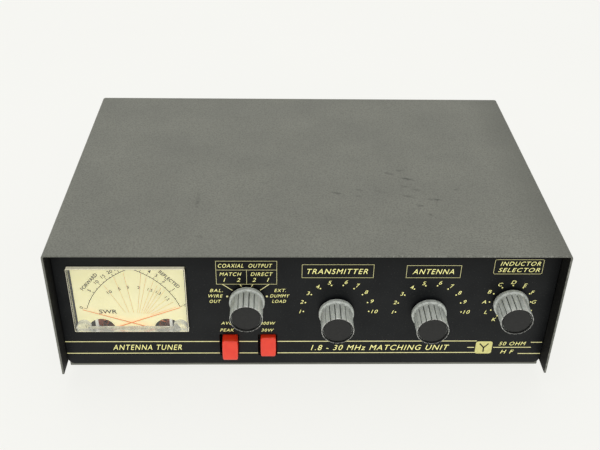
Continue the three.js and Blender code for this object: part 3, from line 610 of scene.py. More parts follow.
def piece(name, form, looks, body="case", nodes=(), weighted=True):
    """A finished form as an object of the row frame that rides on a body and stands for its nodes."""
    mesh = bpy.data.meshes.new(name)
    form.to_mesh(mesh)
    form.free()
    mesh.transform(TO_ROW)
    for look in looks:
        mesh.materials.append(look)
    mesh.shade_smooth()
    mesh.set_sharp_from_angle(angle=math.radians(CREASE))
    thing = bpy.data.objects.new(name, mesh)
    scene.collection.objects.link(thing)
    if weighted:
        thing.modifiers.new("even_normals", "WEIGHTED_NORMAL").keep_sharp = True
    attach(thing, body)
    if nodes:
        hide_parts(*nodes)


def printed(name, form, ink):
    piece(name, form, [ink], weighted=False)


def channel(low, high, base, end, bend, up):
    """The outline of a sheet bent twice, open upwards (up = 1) or downwards (up = -1)."""
    level = base + up * bend
    inner = bend - sheet
    outside = arc(low + bend, level, bend, 180, 180 + up * 90, 8)
    outside += arc(high - bend, level, bend, -up * 90, 0, 8)
    inside = arc(high - bend, level, inner, 0, -up * 90, 6)
    inside += arc(low + bend, level, inner, 180 + up * 90, 180, 6)
    return [(low, end), *outside, (high, end), (high - sheet, end), *inside, (low + sheet, end)]


# Case: the cover, the front panel, the chassis, the feet and the screws.

corners = [f"{where}_{side}" for where in ("front", "rear") for side in ("left", "right")]
screws = {f"cover_screw_{corner}": span(f"cover_screw_{corner}") for corner in corners}
feet = {f"foot_{corner}": span(f"foot_{corner}") for corner in corners}


def cover_drills():
    """Bars through both sides, where the cover screws go in."""
    places = {(round(s.mid.y, 3), round(s.mid.z, 3)) for s in screws.values()}
    bars = [at(lathe([(0, -160), (1.8, -160), (1.8, 160), (0, 160)], 24, axis="x"), 0, y, z)
            for y, z in sorted(places)]
    return joined(*bars)


def top_cover():
    outline = channel(cover.low.x, cover.high.x, cover.high.z, cover.low.z, 2.2, -1)
    shell = combined(plate([outline], cover.low.y, cover.high.y, rounding=0.3), cover_drills())

    def inside(centre):
        under = abs(centre.x) < cover.high.x - sheet + 0.05 and centre.z < cover.high.z - sheet + 0.05
        return under and cover.low.y + 0.25 < centre.y < cover.high.y - 0.25

    # The faces inside the cover get the near-black painted shade.
    piece("cover_shell", painted(shell, 1, inside), [cover_enamel, cover_inside_shade], nodes=["top_cover"])


button_hole = SimpleNamespace(width=11.7, height=17.0)
buttons = {name: span(f"{name}_button") for name in ("average_peak", "power_range")}
hole_shift = {"average_peak": -0.7, "power_range": -0.4}  # the holes sit a little left of the caps


def shaft_holes():
    return [circle(knob.mid.x, knob.mid.z, 5.1, 40) for knob in controls.values()]


def button_outline(name, grow=0.0):
    cap = buttons[name]
    x = cap.mid.x + hole_shift[name]
    half = button_hole.width / 2 + grow
    tall = button_hole.height / 2 + grow
    return rounded(x - half, x + half, cap.mid.z - tall, cap.mid.z + tall, 0.8)


def front_panel():
    corner = 4
    low, high = panel.low, panel.high
    outline = [(high.x, high.z), (low.x, high.z)]
    outline += arc(low.x + corner, low.z + corner, corner, 180, 270, 8)
    outline += arc(high.x - corner, low.z + corner, corner, -90, 0, 8)
    holes = [around(window, 0.3, 0.6), *shaft_holes(), *[button_outline(name) for name in buttons]]
    piece("panel_sheet", plate([outline, *holes], low.y, high.y, rounding=0.2), [satin_black],
          nodes=["front_panel"])


# What is fixed to the back wall.

socket_names = [f"{use}_socket" for use in ("transmitter", "antenna_one", "antenna_two", "dummy_load")]
sockets = {name: span(name) for name in socket_names}
terminals = {word: span(f"terminal_{word}_nut") for word in ("one", "two")}
earth = span("earth_stud")
jack = span("lamp_jack")
rear = chassis.high.y


def chassis_tray():
    low, high = chassis.low, chassis.high
    walls = channel(low.y, high.y, low.z, high.z, 1.6, 1)
    tray = plate([walls], low.x, high.x, rounding=0.2, axis="x")
    flange = rounded(low.y + 0.3, high.y - 0.3, low.z + 0.4, 16, 2.2)
    for side in (-1, 1):
        outer = side * (high.x - 0.02)
        ends = sorted((outer, outer - side * sheet))
        tray = combined(tray, plate([flange], *ends, rounding=0.15, axis="x"), "UNION")
    wall = (low.y - 1, low.y + sheet + 1)
    front_holes = [*shaft_holes(), *[button_outline(name, 0.5) for name in buttons], around(housing, 0.5, 1)]
    tray = combined(tray, joined(*[plate([hole], *wall, rounding=0) for hole in front_holes]))
    rear_holes = [circle(s.mid.x, s.mid.z, 6.3, 40) for s in sockets.values()]
    rear_holes += [circle(t.mid.x, t.mid.z, 2.8, 24) for t in terminals.values()]
    rear_holes += [circle(earth.mid.x, earth.mid.z, 3.3, 24), circle(jack.mid.x, jack.mid.z, 5.3, 32)]
    back = (rear - sheet - 1, rear + 1)
    tray = combined(tray, joined(*[plate([hole], *back, rounding=0) for hole in rear_holes]))
    floor = (low.z - 1, low.z + sheet + 1)
    foot_drills = [plate([circle(f.mid.x, f.mid.y, 2.3, 24)], *floor, 0, axis="z") for f in feet.values()]
    tray = combined(tray, joined(*foot_drills))
    piece("chassis_body", combined(tray, cover_drills()), [chassis_enamel], nodes=["chassis_tray"])


def foot(name):
    base, top = feet[name].low.z, feet[name].high.z
    floor_low = base + 5
    profile = [
        (0, base + 1.2), (2.2, base + 1.2), (2.4, base), (6.4, base), (6.95, base + 0.5),
        (6.3, floor_low - 0.9), (5.9, floor_low - 0.3), (2, floor_low - 0.3), (2, floor_low + 1.5),
        (3.1, floor_low + 1.8), (1.5, top - 0.2), (1.1, top), (0, top),
    ]
    form = at(lathe(profile, 40, axis="z"), feet[name].mid.x, feet[name].mid.y)
    piece(f"{name}_rubber", form, [rubber], nodes=[name])


def cross_screw(radius, height, shank, length):
    """A pan-head screw along Y with a cross recess, its head's underside at y = 0."""
    dome = [(0, -height)] + [
        (radius * math.sin(a), -height * (0.35 + 0.65 * math.cos(a)))
        for a in (math.radians(d) for d in (20, 40, 60, 75, 90))]
    form = lathe(dome + [(radius, -0.1), (radius - 0.1, 0), (shank, 0), (shank, length), (0, length)], 32)
    arm = radius * 0.55
    blades = [block((-arm, -height - 1, -0.32), (arm, -height + height * 0.5, 0.32), 0.1),
              block((-0.32, -height - 1, -arm), (0.32, -height + height * 0.5, arm), 0.1)]
    for blade in blades:
        form = combined(form, blade)
    return form


def cover_screw(name):
    place = screws[name]
    side = -1 if place.mid.x < 0 else 1
    form = at(cross_screw(3, 1.8, 1.5, 8), turn=90 * side, about="Z")
    form = at(form, side * (cover.high.x + 0.3), place.mid.y, place.mid.z)
    piece(f"{name}_pan_head", form, [plated], nodes=[name])


top_cover()
front_panel()
chassis_tray()
for name in feet:
    foot(name)
for name in screws:
    cover_screw(name)

# Printing on the panel.

LINE = 0.2  # width of the printed boxes' lines
SLANT = 0.28  # of the panel's lettering
STRIPES = (16.1, 6.6)  # heights of the two stripes
STRIPE_GAP = 6.1  # from a button hole's middle to the stripes' ends


def box_lines(left, right, low, high):
    loop = [(left, low), (right, low), (right, high), (left, high)]
    return [inset(loop, -LINE / 2), inset(loop, LINE / 2)]


def level(left, right, z, width):
    return [stroke([(left, z), (right, z)], width)]


def fan(centre, radius, degrees):
    """A point at an angle clockwise from the top of a circle."""
    angle = math.radians(degrees)
    return centre.x + radius * math.sin(angle), centre.z + radius * math.cos(angle)


def panel_lines():
    output = controls["output"].mid
    lines = []
    # Two stripes along the bottom, which stop at the button holes.
    holes = sorted(cap.mid.x + hole_shift[name] for name, cap in buttons.items())
    gaps = [(hole - STRIPE_GAP, hole + STRIPE_GAP) for hole in holes]
    ends = [panel.low.x + 0.1, *[edge for gap in gaps for edge in gap], 106.5]
    for left, right in zip(ends[::2], ends[1::2]):
        for z in STRIPES:
            lines.append(level(left, right, z, 0.56))
    for ends in ((101.2, 105.5, 10.8), (117.5, 141.4, 10.8), (140.7, 147.7, 14.9), (133.8, 148, 5.6)):
        lines.append(level(*ends, 0.54))
    # The output selector's box and its four lead lines.
    left, right, low, high, split = -53.7, -18.2, 60.7, 77.5, 71.1
    lines += [box_lines(left, right, low, high), level(left, right, split, LINE)]
    lines.append([stroke([(output.x, low), (output.x, split)], LINE)])
    for top, foot_x, foot_z in (
            (-50.3, -44.5, 56.1), (-40, -39, 58.9), (-32.1, -33.2, 58.9), (-22.6, -28.1, 56.1)):
        lines.append([stroke([(top, low), (foot_x, foot_z)], 0.45)])
    for side in (-1, 1):
        lines.append([circle(output.x + side * 11.8, 51.5, 0.65, 16)])
    lines += [box_lines(-3.4, 38.6, 65.5, 75), box_lines(58, 90, 65.5, 74.4)]
    lines.append([rounded(109.4 - grow, 138.1 + grow, 68.3 - grow, 78.7 + grow, 0.9 + grow)
                  for grow in (LINE / 2, -LINE / 2)])
    return inked(*lines, face=front)


def scale_dots():
    dots = []
    for name, radius in (("transmitter", 19.8), ("antenna", 20)):
        for i in range(10):
            dots.append([circle(*fan(controls[name].mid, radius, -91 + 182 * i / 9), 0.45, 16)])
    for i in range(12):
        dots.append([circle(*fan(controls["inductor"].mid, 12.5, -90 + 30 * i), 0.45, 16)])
    return inked(*dots, face=front)


def panel_words():
    words = [
        ("COAXIAL  OUTPUT", -36.6, 74.2, 2.7, 31.6), ("MATCH", -45.3, 68.1, 2.5, 12.8),
        ("DIRECT", -27, 68.1, 2.5, 13), ("TRANSMITTER", 17.4, 70.1, 3.7, 35.6),
        ("ANTENNA", 73.8, 70, 3.6, 24.4), ("INDUCTOR", 124.6, 75.8, 2.9, 23.6),
        ("SELECTOR", 124.3, 71.2, 2.9, 24.6), ("ANTENNA TUNER", -98.3, 11.4, 4.2, 42.5),
        ("1.8 - 30 MHz MATCHING UNIT", 46.4, 10.9, 4.2, 86.5), ("50 OHM", 129.2, 13.9, 2.9, 17),
        ("H F", 126.8, 7.2, 2.9, 8.4),
    ]
    words += [(text, x, 63.9, 2.7) for text, x in (("1", -48.9), ("2", -40.7), ("2", -31.5), ("1", -23.3))]
    rows = (56, 51.9, 47.8)
    words += [(text, x, z, 2.3, length) for text, x, length, z in (
        ("BAL.", -54, 7.6, rows[0]), ("WIRE", -54.5, 8.6, rows[1]), ("OUT", -54.9, 6.8, rows[2]),
        ("EXT.", -16.2, 6.9, rows[0]), ("DUMMY", -16.4, 11.6, rows[1]), ("LOAD", -16.8, 8.4, rows[2]),
        ("AVG.", -48.1, 7.9, 30.8), ("PEAK", -48.5, 8.6, 25.3),
        ("300W", -23.6, 9.2, 30.7), ("30W", -23.8, 7.6, 25.2),
    )]
    # How far each number stands from its knob's middle, and how many degrees past its dot.
    places = ((21.7, 0), (22, -0.5), (21.9, -1), (21.9, -1.5), (22, -2), (22.5, 3), (22.9, 2), (22.7, 0),
              (22.7, 0), (23.3, 0))
    for name in ("transmitter", "antenna"):
        for i, (reach, lean) in enumerate(places):
            words.append((str(i + 1), *fan(controls[name].mid, reach, lean - 91 + 182 * i / 9), 2.6))
    for i, letter in enumerate("ABCDEFGHIJKL"):
        angle = -90 + 30 * i
        reach = 15.2 - 0.6 * math.sin(math.radians(angle)) - 0.3 * math.cos(math.radians(angle))
        words.append((letter, *fan(controls["inductor"].mid, reach, angle), 2.5))
    return joined(*[lettering(*word, face=front, slant=SLANT, weight=-0.003, spacing=1.18) for word in words])


def aerial_badge():
    """A rounded tile with the circuit symbol for an aerial cut out of it."""
    x, z = 111.5, 10.7
    mast = [(x - 0.45, z - 3.6), (x + 0.45, z - 3.6), (x + 0.45, z - 0.3), (x + 3.1, z + 3),
            (x + 2.4, z + 3.5), (x, z + 0.6), (x - 2.4, z + 3.5), (x - 3.1, z + 3), (x - 0.45, z - 0.3)]
    return inked([rounded(x - 5.2, x + 5.2, z - 5, z + 5, 1.6), mast], face=front)


printed("panel_gold_lines", panel_lines(), gold_ink)
printed("panel_scale_dots", scale_dots(), yellow_ink)
printed("panel_words", panel_words(), yellow_ink)
printed("panel_badge", aerial_badge(), badge_ink)

# Knobs.

FLUTES = 18
GRIP = 9.6  # radius of a knob's grip


def fluted(radius, angle, y):
    """Narrow grooves in the grip, which stop at the skirt."""
    if not 9.2 < radius < 9.7:
        return radius
    turn = (angle * FLUTES / (2 * math.pi)) % 1
    edge = min(turn, 1 - turn) / 0.15
    depth = 0.75 if y > 0.2 else 0.45
    return radius - depth * (1 - edge * edge * (3 - 2 * edge)) if edge < 1 else radius


def axial(point):
    """How far a point is from the Y axis."""
    return math.hypot(point.x, point.z)


def knob(name, index_angle, body):
    low, high, mid = controls[name].low, controls[name].high, controls[name].mid
    length = high.y - low.y
    profile = [
        (0, 1.2), (8.55, 1.2), (8.6, 1.1), (8.6, 0.2), (8.75, 0.03), (8.9, 0), (9.25, 0), (9.45, 0.06),
        (GRIP, 0.25), (GRIP, 0.7), (GRIP, 4), (GRIP, 8), (GRIP, 12), (GRIP, length - 3.2),
        (9.85, length - 2.75), (10.2, length - 2.5), (10.5, length - 2.2), (10.6, length - 1.8),
        (10.6, length - 0.3), (10.35, length), (7.4, length), (7.4, length - 3.4), (3.3, length - 3.4),
        (3.3, 3), (0, 3),
    ]
    form = lathe(profile, FLUTES * 14, fluted)
    # The grooves' faces get the painted shade.
    painted(form, 2, lambda centre: 0.25 < centre.y < length - 3 and 8.7 < axial(centre) < GRIP - 0.25)
    painted(form, 3, lambda centre: centre.y < 1 and axial(centre) < 9.2)
    # The rim's faces get the painted highlight.
    painted(form, 1, lambda centre: centre.y < 0.25 and axial(centre) > 9.2)
    form = at(form, mid.x, low.y, mid.z)
    looks = [knob_grey, knob_rim_highlight, knob_groove_shade, disc_black]
    piece(f"{name}_knob_grip", form, looks, body, [f"{name}_knob"])
    face = low.y + 0.55
    edge = [(8.1, 0), (8.25, 0.08), (8.3, 0.2), (8.3, 0.35), (0, 0.35)]
    disc = lathe([(0, -0.06), (0.25, -0.05), (0.3, 0), *edge], 96)
    piece(f"{name}_knob_inlay", at(disc, mid.x, face, mid.z), [disc_black], body, [f"{name}_knob_disc"])
    across = index_land(index_angle)
    strip = plate([rounded(-0.42, 0.42, 0.35, length - 3.1, 0.2)], GRIP - 0.35, GRIP + 0.04, 0.03, axis="z")
    strip = at(strip, mid.x, low.y, mid.z, across)
    piece(f"{name}_index_line", strip, [index_white], body)


def index_land(angle):
    """The middle of the land nearest an angle clockwise from the top."""
    step = 360 / FLUTES
    return (round(angle / step - 0.5) + 0.5) * step


knob("output", 42, "output_selector")
knob("transmitter", 90, "transmitter_tuning")
knob("antenna", 90, "antenna_tuning")
knob("inductor", 36, "inductor_selector")

# Push buttons.


def button(name, body):
    cap = buttons[name]
    half = cap.size / 2
    form = block(-half, half, 1.1, cuts=7, segments=4)
    for corner in form.verts:
        x, y, z = corner.co
        pinch = 1 - 0.045 * (z / half.z) ** 2 - 0.02 * max(0.0, (y + half.y) / cap.size.y)
        crown = 0.35 * (1 - (x / half.x) ** 2) * (1 - (z / half.z) ** 2)
        corner.co.x = x * pinch
        if y < 0:
            corner.co.y = y + 0.35 - crown
    hollow = block((1.4 - half.x, 2 - half.y, 1.4 - half.z), (half.x - 1.4, half.y + 1, half.z - 1.4), 0.4)
    form = combined(closed(form), hollow)
    boss = block((-3, 1.9 - half.y, -3), (3, half.y - 2, 3), 0.3)
    boss = combined(boss, block((-2.1, 2.7 - half.y, -2.1), (2.1, half.y, 2.1), 0.1))
    form = at(joined(form, boss), *cap.mid)
    piece(f"{name}_cap", form, [button_red], body, [f"{name}_button"])


button("average_peak", "average_peak_key")
button("power_range", "power_range_key")

# Meter.

pivots = {
    name: SimpleNamespace(x=span(f"{name}_movement").mid.x, z=span(f"{name}_movement").high.z - 11)
    for name in ("forward", "reflected")}
middle = (window.low.x + window.high.x) / 2
SILL = 2.2  # the clear box's sill
WALL = 0.6  # the clear box's walls
PEG_REACH = 29.2  # from the middle to each peg
RIM = 0.36  # the clear box's edge rounding, as far as it is painted


def meter_window():
    """A clear box, open at the back, with a thick sill and a peg in each bottom corner."""
    low, high = window.low, window.high
    form = plate([around(window, 0, 0.5)], low.y, high.y, rounding=0.35, steps=4)
    room = rounded(low.x + WALL, high.x - WALL, low.z + SILL, high.z - WALL, 0.4)
    form = combined(form, plate([room], low.y + 0.9, high.y + 1, rounding=0.2))
    behind = rounded(low.x + WALL, high.x - WALL, low.z - 1, low.z + SILL + 1, 0.4)
    form = combined(form, plate([behind], panel.high.y, high.y + 1, rounding=0.1))
    for side in (-1, 1):
        peg = plate(
            [circle(middle + side * PEG_REACH, low.z + SILL, 4.2, 40)], low.y + 0.5, dial.low.y - 0.3, 0.2)
        guard = block((low.x + 0.5, low.y + 0.4, low.z + 0.4), (high.x - 0.5, high.y, high.z), 0.05)
        form = combined(form, combined(peg, guard, "INTERSECT"), "UNION")
    bmesh.ops.dissolve_degenerate(form, dist=0.002, edges=form.edges)
    form.normal_update()
    for face in form.faces:
        centre = face.calc_center_median()
        inner_x = low.x + RIM < centre.x < high.x - RIM
        inner_z = low.z + RIM < centre.z < high.z - RIM
        on_rounding = low.y + 0.01 < centre.y < low.y + RIM and not (inner_x and inner_z)
        across = min(
            math.hypot(centre.x - middle - side * PEG_REACH, centre.z - low.z - SILL) for side in (-1, 1))
        on_peg = centre.y > low.y + 1 and across < 4.3
        # The rounded edges and the top get the painted highlight.
        if on_rounding or centre.z > high.z - 0.02:
            face.material_index = 1
        elif on_peg or (face.normal.z > 0.9 and abs(centre.z - low.z - SILL) < 0.2):
            face.material_index = 2
        # Painted shadow: the ceiling inside the top wall gets the dark steel look, for the dark line of shade
        # under the bright top edge.
        elif abs(centre.z - high.z + WALL) < 0.1:
            face.material_index = 3
    looks = [acrylic, acrylic_edge_highlight, acrylic_frost, dark_steel]
    piece("meter_window_box", form, looks, nodes=["meter_cover"])


def meter_dial():
    between = (pivots["forward"].x + pivots["reflected"].x) / 2
    holes = [circle(between + side * 20, pivots["forward"].z + 0.5, 8.2, 64) for side in (-1, 1)]
    piece("meter_dial_card", plate([around(dial, 0, 0.5), *holes], dial.low.y, dial.high.y, 0.1), [cream],
          nodes=["meter_dial"])


SCALE = 47.9  # radius of both scale arcs
left_scale = SimpleNamespace(x=-86.9, z=25.5)
right_scale = SimpleNamespace(x=-121.6, z=25.5)


def scale_marks():
    """Both arcs, with a tick at each number and a short tick or dot between them."""
    marks = []
    numbers = []
    for centre, side, values, degrees in (
        (left_scale, -1, ("0", "5", "10", "15", "20", "25"), (-72.4, -56.3, -47.3, -40.6, -34.7, -29.5)),
        (right_scale, 1, ("0", "1", "2", "3", "4", "5"), (70.3, 55, 46.1, 39.3, 34, 28.5)),
    ):
        sweep = [degrees[0] + (-side * 20.5 - degrees[0]) * i / 40 for i in range(41)]
        sweep = [angle for angle in sweep if abs(angle) > 20]
        marks.append([stroke([fan(centre, SCALE, angle) for angle in sweep], 0.4)])
        for text, angle in zip(values, degrees):
            tick = [fan(centre, SCALE, angle), fan(centre, SCALE + 1.8, angle)]
            marks.append([stroke(tick, 0.3)])
            x, z = fan(centre, SCALE + 3.4, angle)
            if z < dial.high.z - 1.5:
                numbers.append(lettering(text, x, z, 2.3, face=dial.low.y, weight=0.008, turn=-angle * 0.8))
        for first, second in zip(degrees, degrees[1:]):
            between = (first + second) / 2
            marks.append(
                [stroke([fan(centre, SCALE - 0.3, between), fan(centre, SCALE + 0.8, between)], 0.3)])
    words = [
        lettering("FORWARD", -129.0, 60.4, 2.4, 15.4, dial.low.y, turn=49.8, weight=0.02),
        lettering("REFLECTED", -81.6, 62.2, 2.4, 16.1, dial.low.y, turn=-47.5, weight=0.02),
        lettering("SWR", -120.1, 37.8, 3.1, 10.9, dial.low.y, weight=0.014),
    ]
    for text, x, z, turn in (
            ("10", -117.7, 52.9, 28), ("5", -111.7, 55.2, 18), ("3", -106.6, 56.4, 10),
            ("2", -100.2, 56.2, -4), ("1.5", -93.5, 54.4, -20), ("1.3", -88.7, 52.2, -32),
            ("1.2", -83.9, 47.8, -48)):
        wide = 2.9 if len(text) > 1 else None
        words.append(lettering(text, x, z, 2.2, wide, dial.low.y, weight=0.008, turn=turn))
    return joined(inked(*marks, face=dial.low.y), *numbers, *words)


def ratio_lines():
    """The fan of constant-ratio lines, from short starts above the crossing to the scales."""
    lines = []
    for start, end in (
        ((-109.7, 37.1), (-120.5, 57.9)), ((-107.5, 37.1), (-114.1, 63.9)), ((-104.8, 37.1), (-108.2, 67.2)),
        ((-102.4, 36.8), (-97.9, 67)), ((-101.5, 36.5), (-95.1, 63.6)), ((-100.3, 36.4), (-91.1, 60.9)),
        ((-99.1, 36.3), (-89, 57.8)), ((-98.2, 36.3), (-86.7, 56.2)), ((-97.2, 36.1), (-84.8, 53.9)),
        ((-96.3, 35.9), (-85, 46.8)), ((-94.7, 35.7), (-80, 45.4)), ((-93.9, 35.2), (-79, 41.3)),
    ):
        lines.append([stroke([start, end], 0.24)])
    return inked(*lines, face=dial.low.y)


def needle(name, rest):
    """A pointer with its hub, staff and moving coil, at rest against its stop."""
    reach = {"forward": 51, "reflected": 50.1}[name]
    near = {"forward": 12.7, "reflected": 13.3}[name]
    tail = [(-9, -1.4), (-5.4, -1.4), (-5.4, -0.45), (reach, -0.24), (reach, 0.24), (-5.4, 0.45),
            (-5.4, 1.4), (-9, 1.4)]
    pointer = plate([tail], near, near + 0.2, 0.05, 2)
    hub = painted(
        lathe([(0, near), (1.7, near), (1.9, near + 0.2), (1.9, near + 0.45), (0, near + 0.45)], 32), 1)
    staff = painted(lathe([(0, near + 0.1), (0.5, near + 0.1), (0.5, 34.6), (0, 35)], 16), 1)
    coil = painted(block((-4.4, 19, -2.6), (4.4, 31, 2.6), 1.2), 2)
    coil = combined(coil, block((-3.2, 20.4, -4), (3.2, 29.6, 4), 0.6))
    turn = 180 + rest if name == "forward" else -rest
    form = at(joined(pointer, hub, staff, coil), pivots[name].x, 0, pivots[name].z, turn)
    piece(f"{name}_pointer_arm", form, [needle_red, brass, copper], f"{name}_pointer", [f"{name}_needle"])


def movement(name, side, bar, bobbin):
    """A dark magnet block, its white bridge bar and a brown coil former, seen through the dial."""
    box = span(f"{name}_movement")
    pivot = pivots[name]
    body = block((-11.5, 17.4, box.low.z - pivot.z), (11.5, 33, 11), 0.8)
    body = combined(body, plate([circle(0, 0, 6.8, 48)], 10, 40, 0))
    bridge = painted(block((bar[0], 15.9, box.low.z - pivot.z), (bar[1], 17.5, 10.4), 0.2), 1)
    former = painted(block((bobbin[0], 16.2, 2), (bobbin[1], 17.6, 10), 0.2), 2)
    arm = painted(tube([(-side * 1.5, 16.7, 9.8), (-side * 5, 16.7, 8.6), (-side * 9.6, 16.7, 4)], 0.35), 1)
    plate_back = painted(block((-2.4, 32.9, box.low.z - pivot.z), (2.4, 34.4, 11), 0.2), 1)
    form = at(joined(body, bridge, former, arm, plate_back), pivot.x, 0, pivot.z)
    piece(
        f"{name}_movement_block", form, [dark_steel, bridge_white, phenolic_brown],
        nodes=[f"{name}_movement"])


meter_window()
meter_dial()
printed("meter_dial_print", scale_marks(), black_ink)
printed("meter_ratio_lines", ratio_lines(), red_ink)
needle("forward", 19.5)
needle("reflected", 21.2)
movement("forward", 1, bar=(3, 4.6), bobbin=(1.4, 3))
movement("reflected", -1, bar=(-6.3, -4.5), bobbin=(-4.4, -1.4))

# Back wall.


def on_back(place, *parts, turn=0):
    """Joins the parts of a fitting and moves them to its place on the back wall."""
    return at(joined(*parts), place.mid.x, rear, place.mid.z, turn)


def threaded(radius, depth, pitch, start, end):
    """Profile points of a thread, as rings."""
    count = int((end - start) / pitch)
    step = (end - start) / count
    points = []
    for i in range(count):
        y = start + (end - start) * i / count
        points += [(radius - depth, y + 0.1 * step), (radius, y + 0.4 * step), (radius, y + 0.6 * step),
                   (radius - depth, y + 0.9 * step)]
    return points


SOCKET_SCREW = 9.1  # from a socket's middle to each screw, both ways


def coax_socket(name):
    """A flange with four screws, a threaded barrel, a white insulator and a split centre contact."""
    place = sockets[name]
    end = place.high.y - rear
    flange = plate([rounded(-12.5, 12.5, -12.5, 12.5, 2)], 0.3, 2.3, 0.2)
    barrel = lathe(
        [(6, -8), (6, 0.2), (8.4, 2.2), (8.4, 3), (7.5, 3.2), *threaded(7.9, 0.45, 1.05, 3.4, end - 0.6),
        (7.4, end), (6.6, end), (6.4, end - 0.3), (6.4, end - 2.2), (5, end - 2.2), (5, -8)], 72, ring=True)
    parts = [flange, barrel]
    mouth = [(5.2, end - 1.9), (4.6, end - 1.5), (3, end - 1.5), (2.8, end - 2), (2.1, end - 2)]
    parts.append(painted(lathe([(0, -8.2), (5.2, -8.2), *mouth, (2.1, end - 9), (0, end - 9)], 48), 1))
    contact = [(1.3, end - 8.8), (2, end - 8.8), (2, end - 2.1), (1.8, end - 1.7), (1.3, end - 1.9)]
    parts.append(painted(lathe(contact, 32, ring=True), 2))
    parts.append(painted(lathe([(0, -14), (1.3, -14), (1.6, -13.6), (1.6, -8), (0, -8)], 24), 2))
    for x in (-SOCKET_SCREW, SOCKET_SCREW):
        for z in (-SOCKET_SCREW, SOCKET_SCREW):
            head = at(cross_screw(2.2, 1.3, 1.2, 4), turn=180, about="Z")
            parts.append(painted(at(head, x, 2.35, z), 3))
    piece(
        f"{name}_flanged", on_back(place, *parts), [plated, ceramic, brass, silver], nodes=[name])


def terminal(word, look):
    place = terminals[word]
    post_end = span(f"terminal_{word}_post").high.y - rear
    thread = threaded(2.5, 0.3, 0.8, 3.6, post_end - 0.4)
    stud = lathe(
        [(0, -12), (2.3, -12), (2.5, -11.6), (2.5, 3.4), *thread, (1.9, post_end), (0, post_end)], 40)
    collar = painted(
        lathe([(2.4, 0.3), (5.8, 0.3), (6, 0.6), (6, 2.8), (5.5, 3.4), (2.4, 3.4)], 48, ring=True), 1)
    nut = plate([circle(0, 0, 4.6, 6), circle(0, 0, 2.55, 24)], -sheet - 4.3, -sheet - 0.3, 0.2)
    piece(
        f"terminal_{word}_threaded_post", on_back(place, stud, collar, nut), [brass, look],
        nodes=[f"terminal_{word}_post"])

    def knurled(radius, angle, y):
        if radius < 6 or not 4.6 < y < 11.6:
            return radius
        return radius - 0.28 * (1 - abs(math.sin(12 * angle)))

    cap = lathe(
        [(2.7, 3.7), (5.4, 3.7), (5.7, 4), (5.7, 4.6), (6.15, 4.9), (6.15, 8), (6.15, 11.2), (5.7, 11.7),
         (5.2, 12.3), (4.6, 12.5), (3.4, 12.4), (2.7, 12)],
        96, knurled, ring=True)
    piece(f"terminal_{word}_thumb_cap", on_back(place, cap), [look],
          f"terminal_{word}_cap", [f"terminal_{word}_nut"])


def earth_terminal():
    thread = threaded(3, 0.35, 1, 1.9, 12.6)
    stud = lathe([(0, -9), (2.7, -9), (3, -8.6), (3, 1.8), *thread, (2.5, 13), (0, 13)], 40)
    washer = lathe([(2.9, 0.3), (7, 0.3), (7, 1.5), (6.7, 1.7), (2.9, 1.7)], 48, ring=True)
    nut = plate([circle(0, 0, 5.4, 6), circle(0, 0, 3.05, 24)], -sheet - 4.3, -sheet - 0.3, 0.2)
    piece(
        "earth_stud_threaded", on_back(earth, stud, painted(washer, 1), nut), [brass, silver],
        nodes=["earth_stud"])
    hub = lathe([(3.15, 2), (5.2, 2), (5.4, 2.3), (4.7, 7), (4.3, 7.5), (3.15, 7.5)], 48, ring=True)
    tip = arc(10.6, 9.2, 2.95, -42, 130, 14)
    wing = [(3.9, 2.4), (6.4, 2.5), (9, 4.2), *tip, (7.4, 9.4), (5.6, 7.2), (3.9, 6.8)]
    wings = [at(plate([wing], -0.9, 0.9, 0.5, 4, axis="z"), turn=turn) for turn in (0, 180)]
    piece(
        "earth_wing_nut_cast", on_back(earth, hub, *wings, turn=-30), [brass], "earth_clamp",
        ["earth_wing_nut"])


def lamp_socket():
    bushing = lathe(
        [(4.2, -9), (4.4, -8.8), (4.4, -0.1), (4.7, -0.1), (4.7, 0.3), (4.4, 0.3),
         *threaded(4.4, 0.2, 0.6, 0.4, 2.3), (4.2, 2.6), (2, 2.6), (1.75, 2.4), (1.75, -6), (1.2, -9)],
        48, ring=True)
    nut = painted(plate([circle(0, 0, 6.1, 6), circle(0, 0, 4.35, 32)], 0.35, 1.8, 0.2), 1)
    spring = painted(lathe([(0.9, -8), (1.5, -8), (1.5, -2), (0.9, -2)], 24, ring=True), 1)
    piece(
        "lamp_jack_threaded", on_back(jack, bushing, nut, spring), [black_plastic, silver],
        nodes=["lamp_jack"])


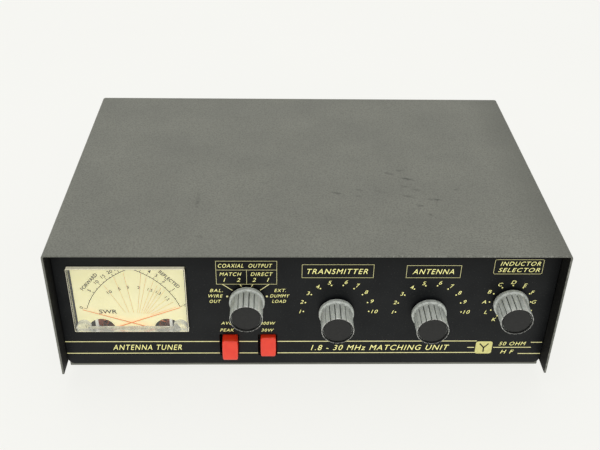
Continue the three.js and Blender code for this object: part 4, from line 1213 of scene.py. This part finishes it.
def rear_words():
    """Names beside the connections, facing the back."""
    high = sockets["transmitter_socket"].mid.z + 17.5
    names = ("TRANSMITTER", "ANTENNA 1", "ANTENNA 2", "DUMMY LOAD")
    words = [(name, place.mid.x, high) for name, place in zip(names, sockets.values())]
    words.append(("BAL. / WIRE", (terminals["one"].mid.x + terminals["two"].mid.x) / 2, high))
    words += [("EARTH", earth.mid.x, earth.mid.z + 19), ("LAMP 12 V", jack.mid.x, jack.mid.z + 10)]
    forms = [lettering(word, -x, z, 2.8, weight=0.01) for word, x, z in words]
    return at(joined(*forms), 0, rear, 0, 180, "Z")


for name in sockets:
    coax_socket(name)
terminal("one", terminal_red)
terminal("two", black_plastic)
earth_terminal()
lamp_socket()
printed("rear_words", rear_words(), index_white)

# CAD nodes that keep their shape.

capacitor_nodes = [f"{use}_capacitor_{part}" for use in ("transmitter", "antenna")
                   for part in ("frame", "stator", "rotor")]
for look, nodes in (
    (ceramic, ["output_switch", "inductor_switch"]),
    (plated, ["output_shaft", "inductor_shaft"]),
    (aluminium, capacitor_nodes),
    (white_plastic, ["coil_former", "average_peak_plunger", "power_range_plunger"]),
    (copper, ["inductor_coil", "balun_winding"]),
    (ferrite, ["balun_core"]),
    (board_green, ["bridge_board"]),
    (black_plastic, ["average_peak_switch", "power_range_switch", "meter_housing"]),
    (lamp_glass, ["meter_lamp"]),
):
    for node in nodes:
        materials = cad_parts[node].data.materials
        materials.clear()
        materials.append(look)

# Floor.

floor_mesh = bpy.data.meshes.new("floor")
reach = 6
floor_mesh.from_pydata(
    [(-reach, -reach, 0), (reach, -reach, 0), (reach, reach, 0), (-reach, reach, 0)], [], [(0, 1, 2, 3)])
floor_mesh.materials.append(
    finish("studio_floor", (92, 92, 90), (90, 90, 88), 300, (0.7, 0.8), 3, 0.005, Specular_IOR_Level=0.1,
           glow=(250, 250, 246), strength=0.85))
floor = bpy.data.objects.new("floor", floor_mesh)
floor.location.z = cad_box[0].z
scene.collection.objects.link(floor)
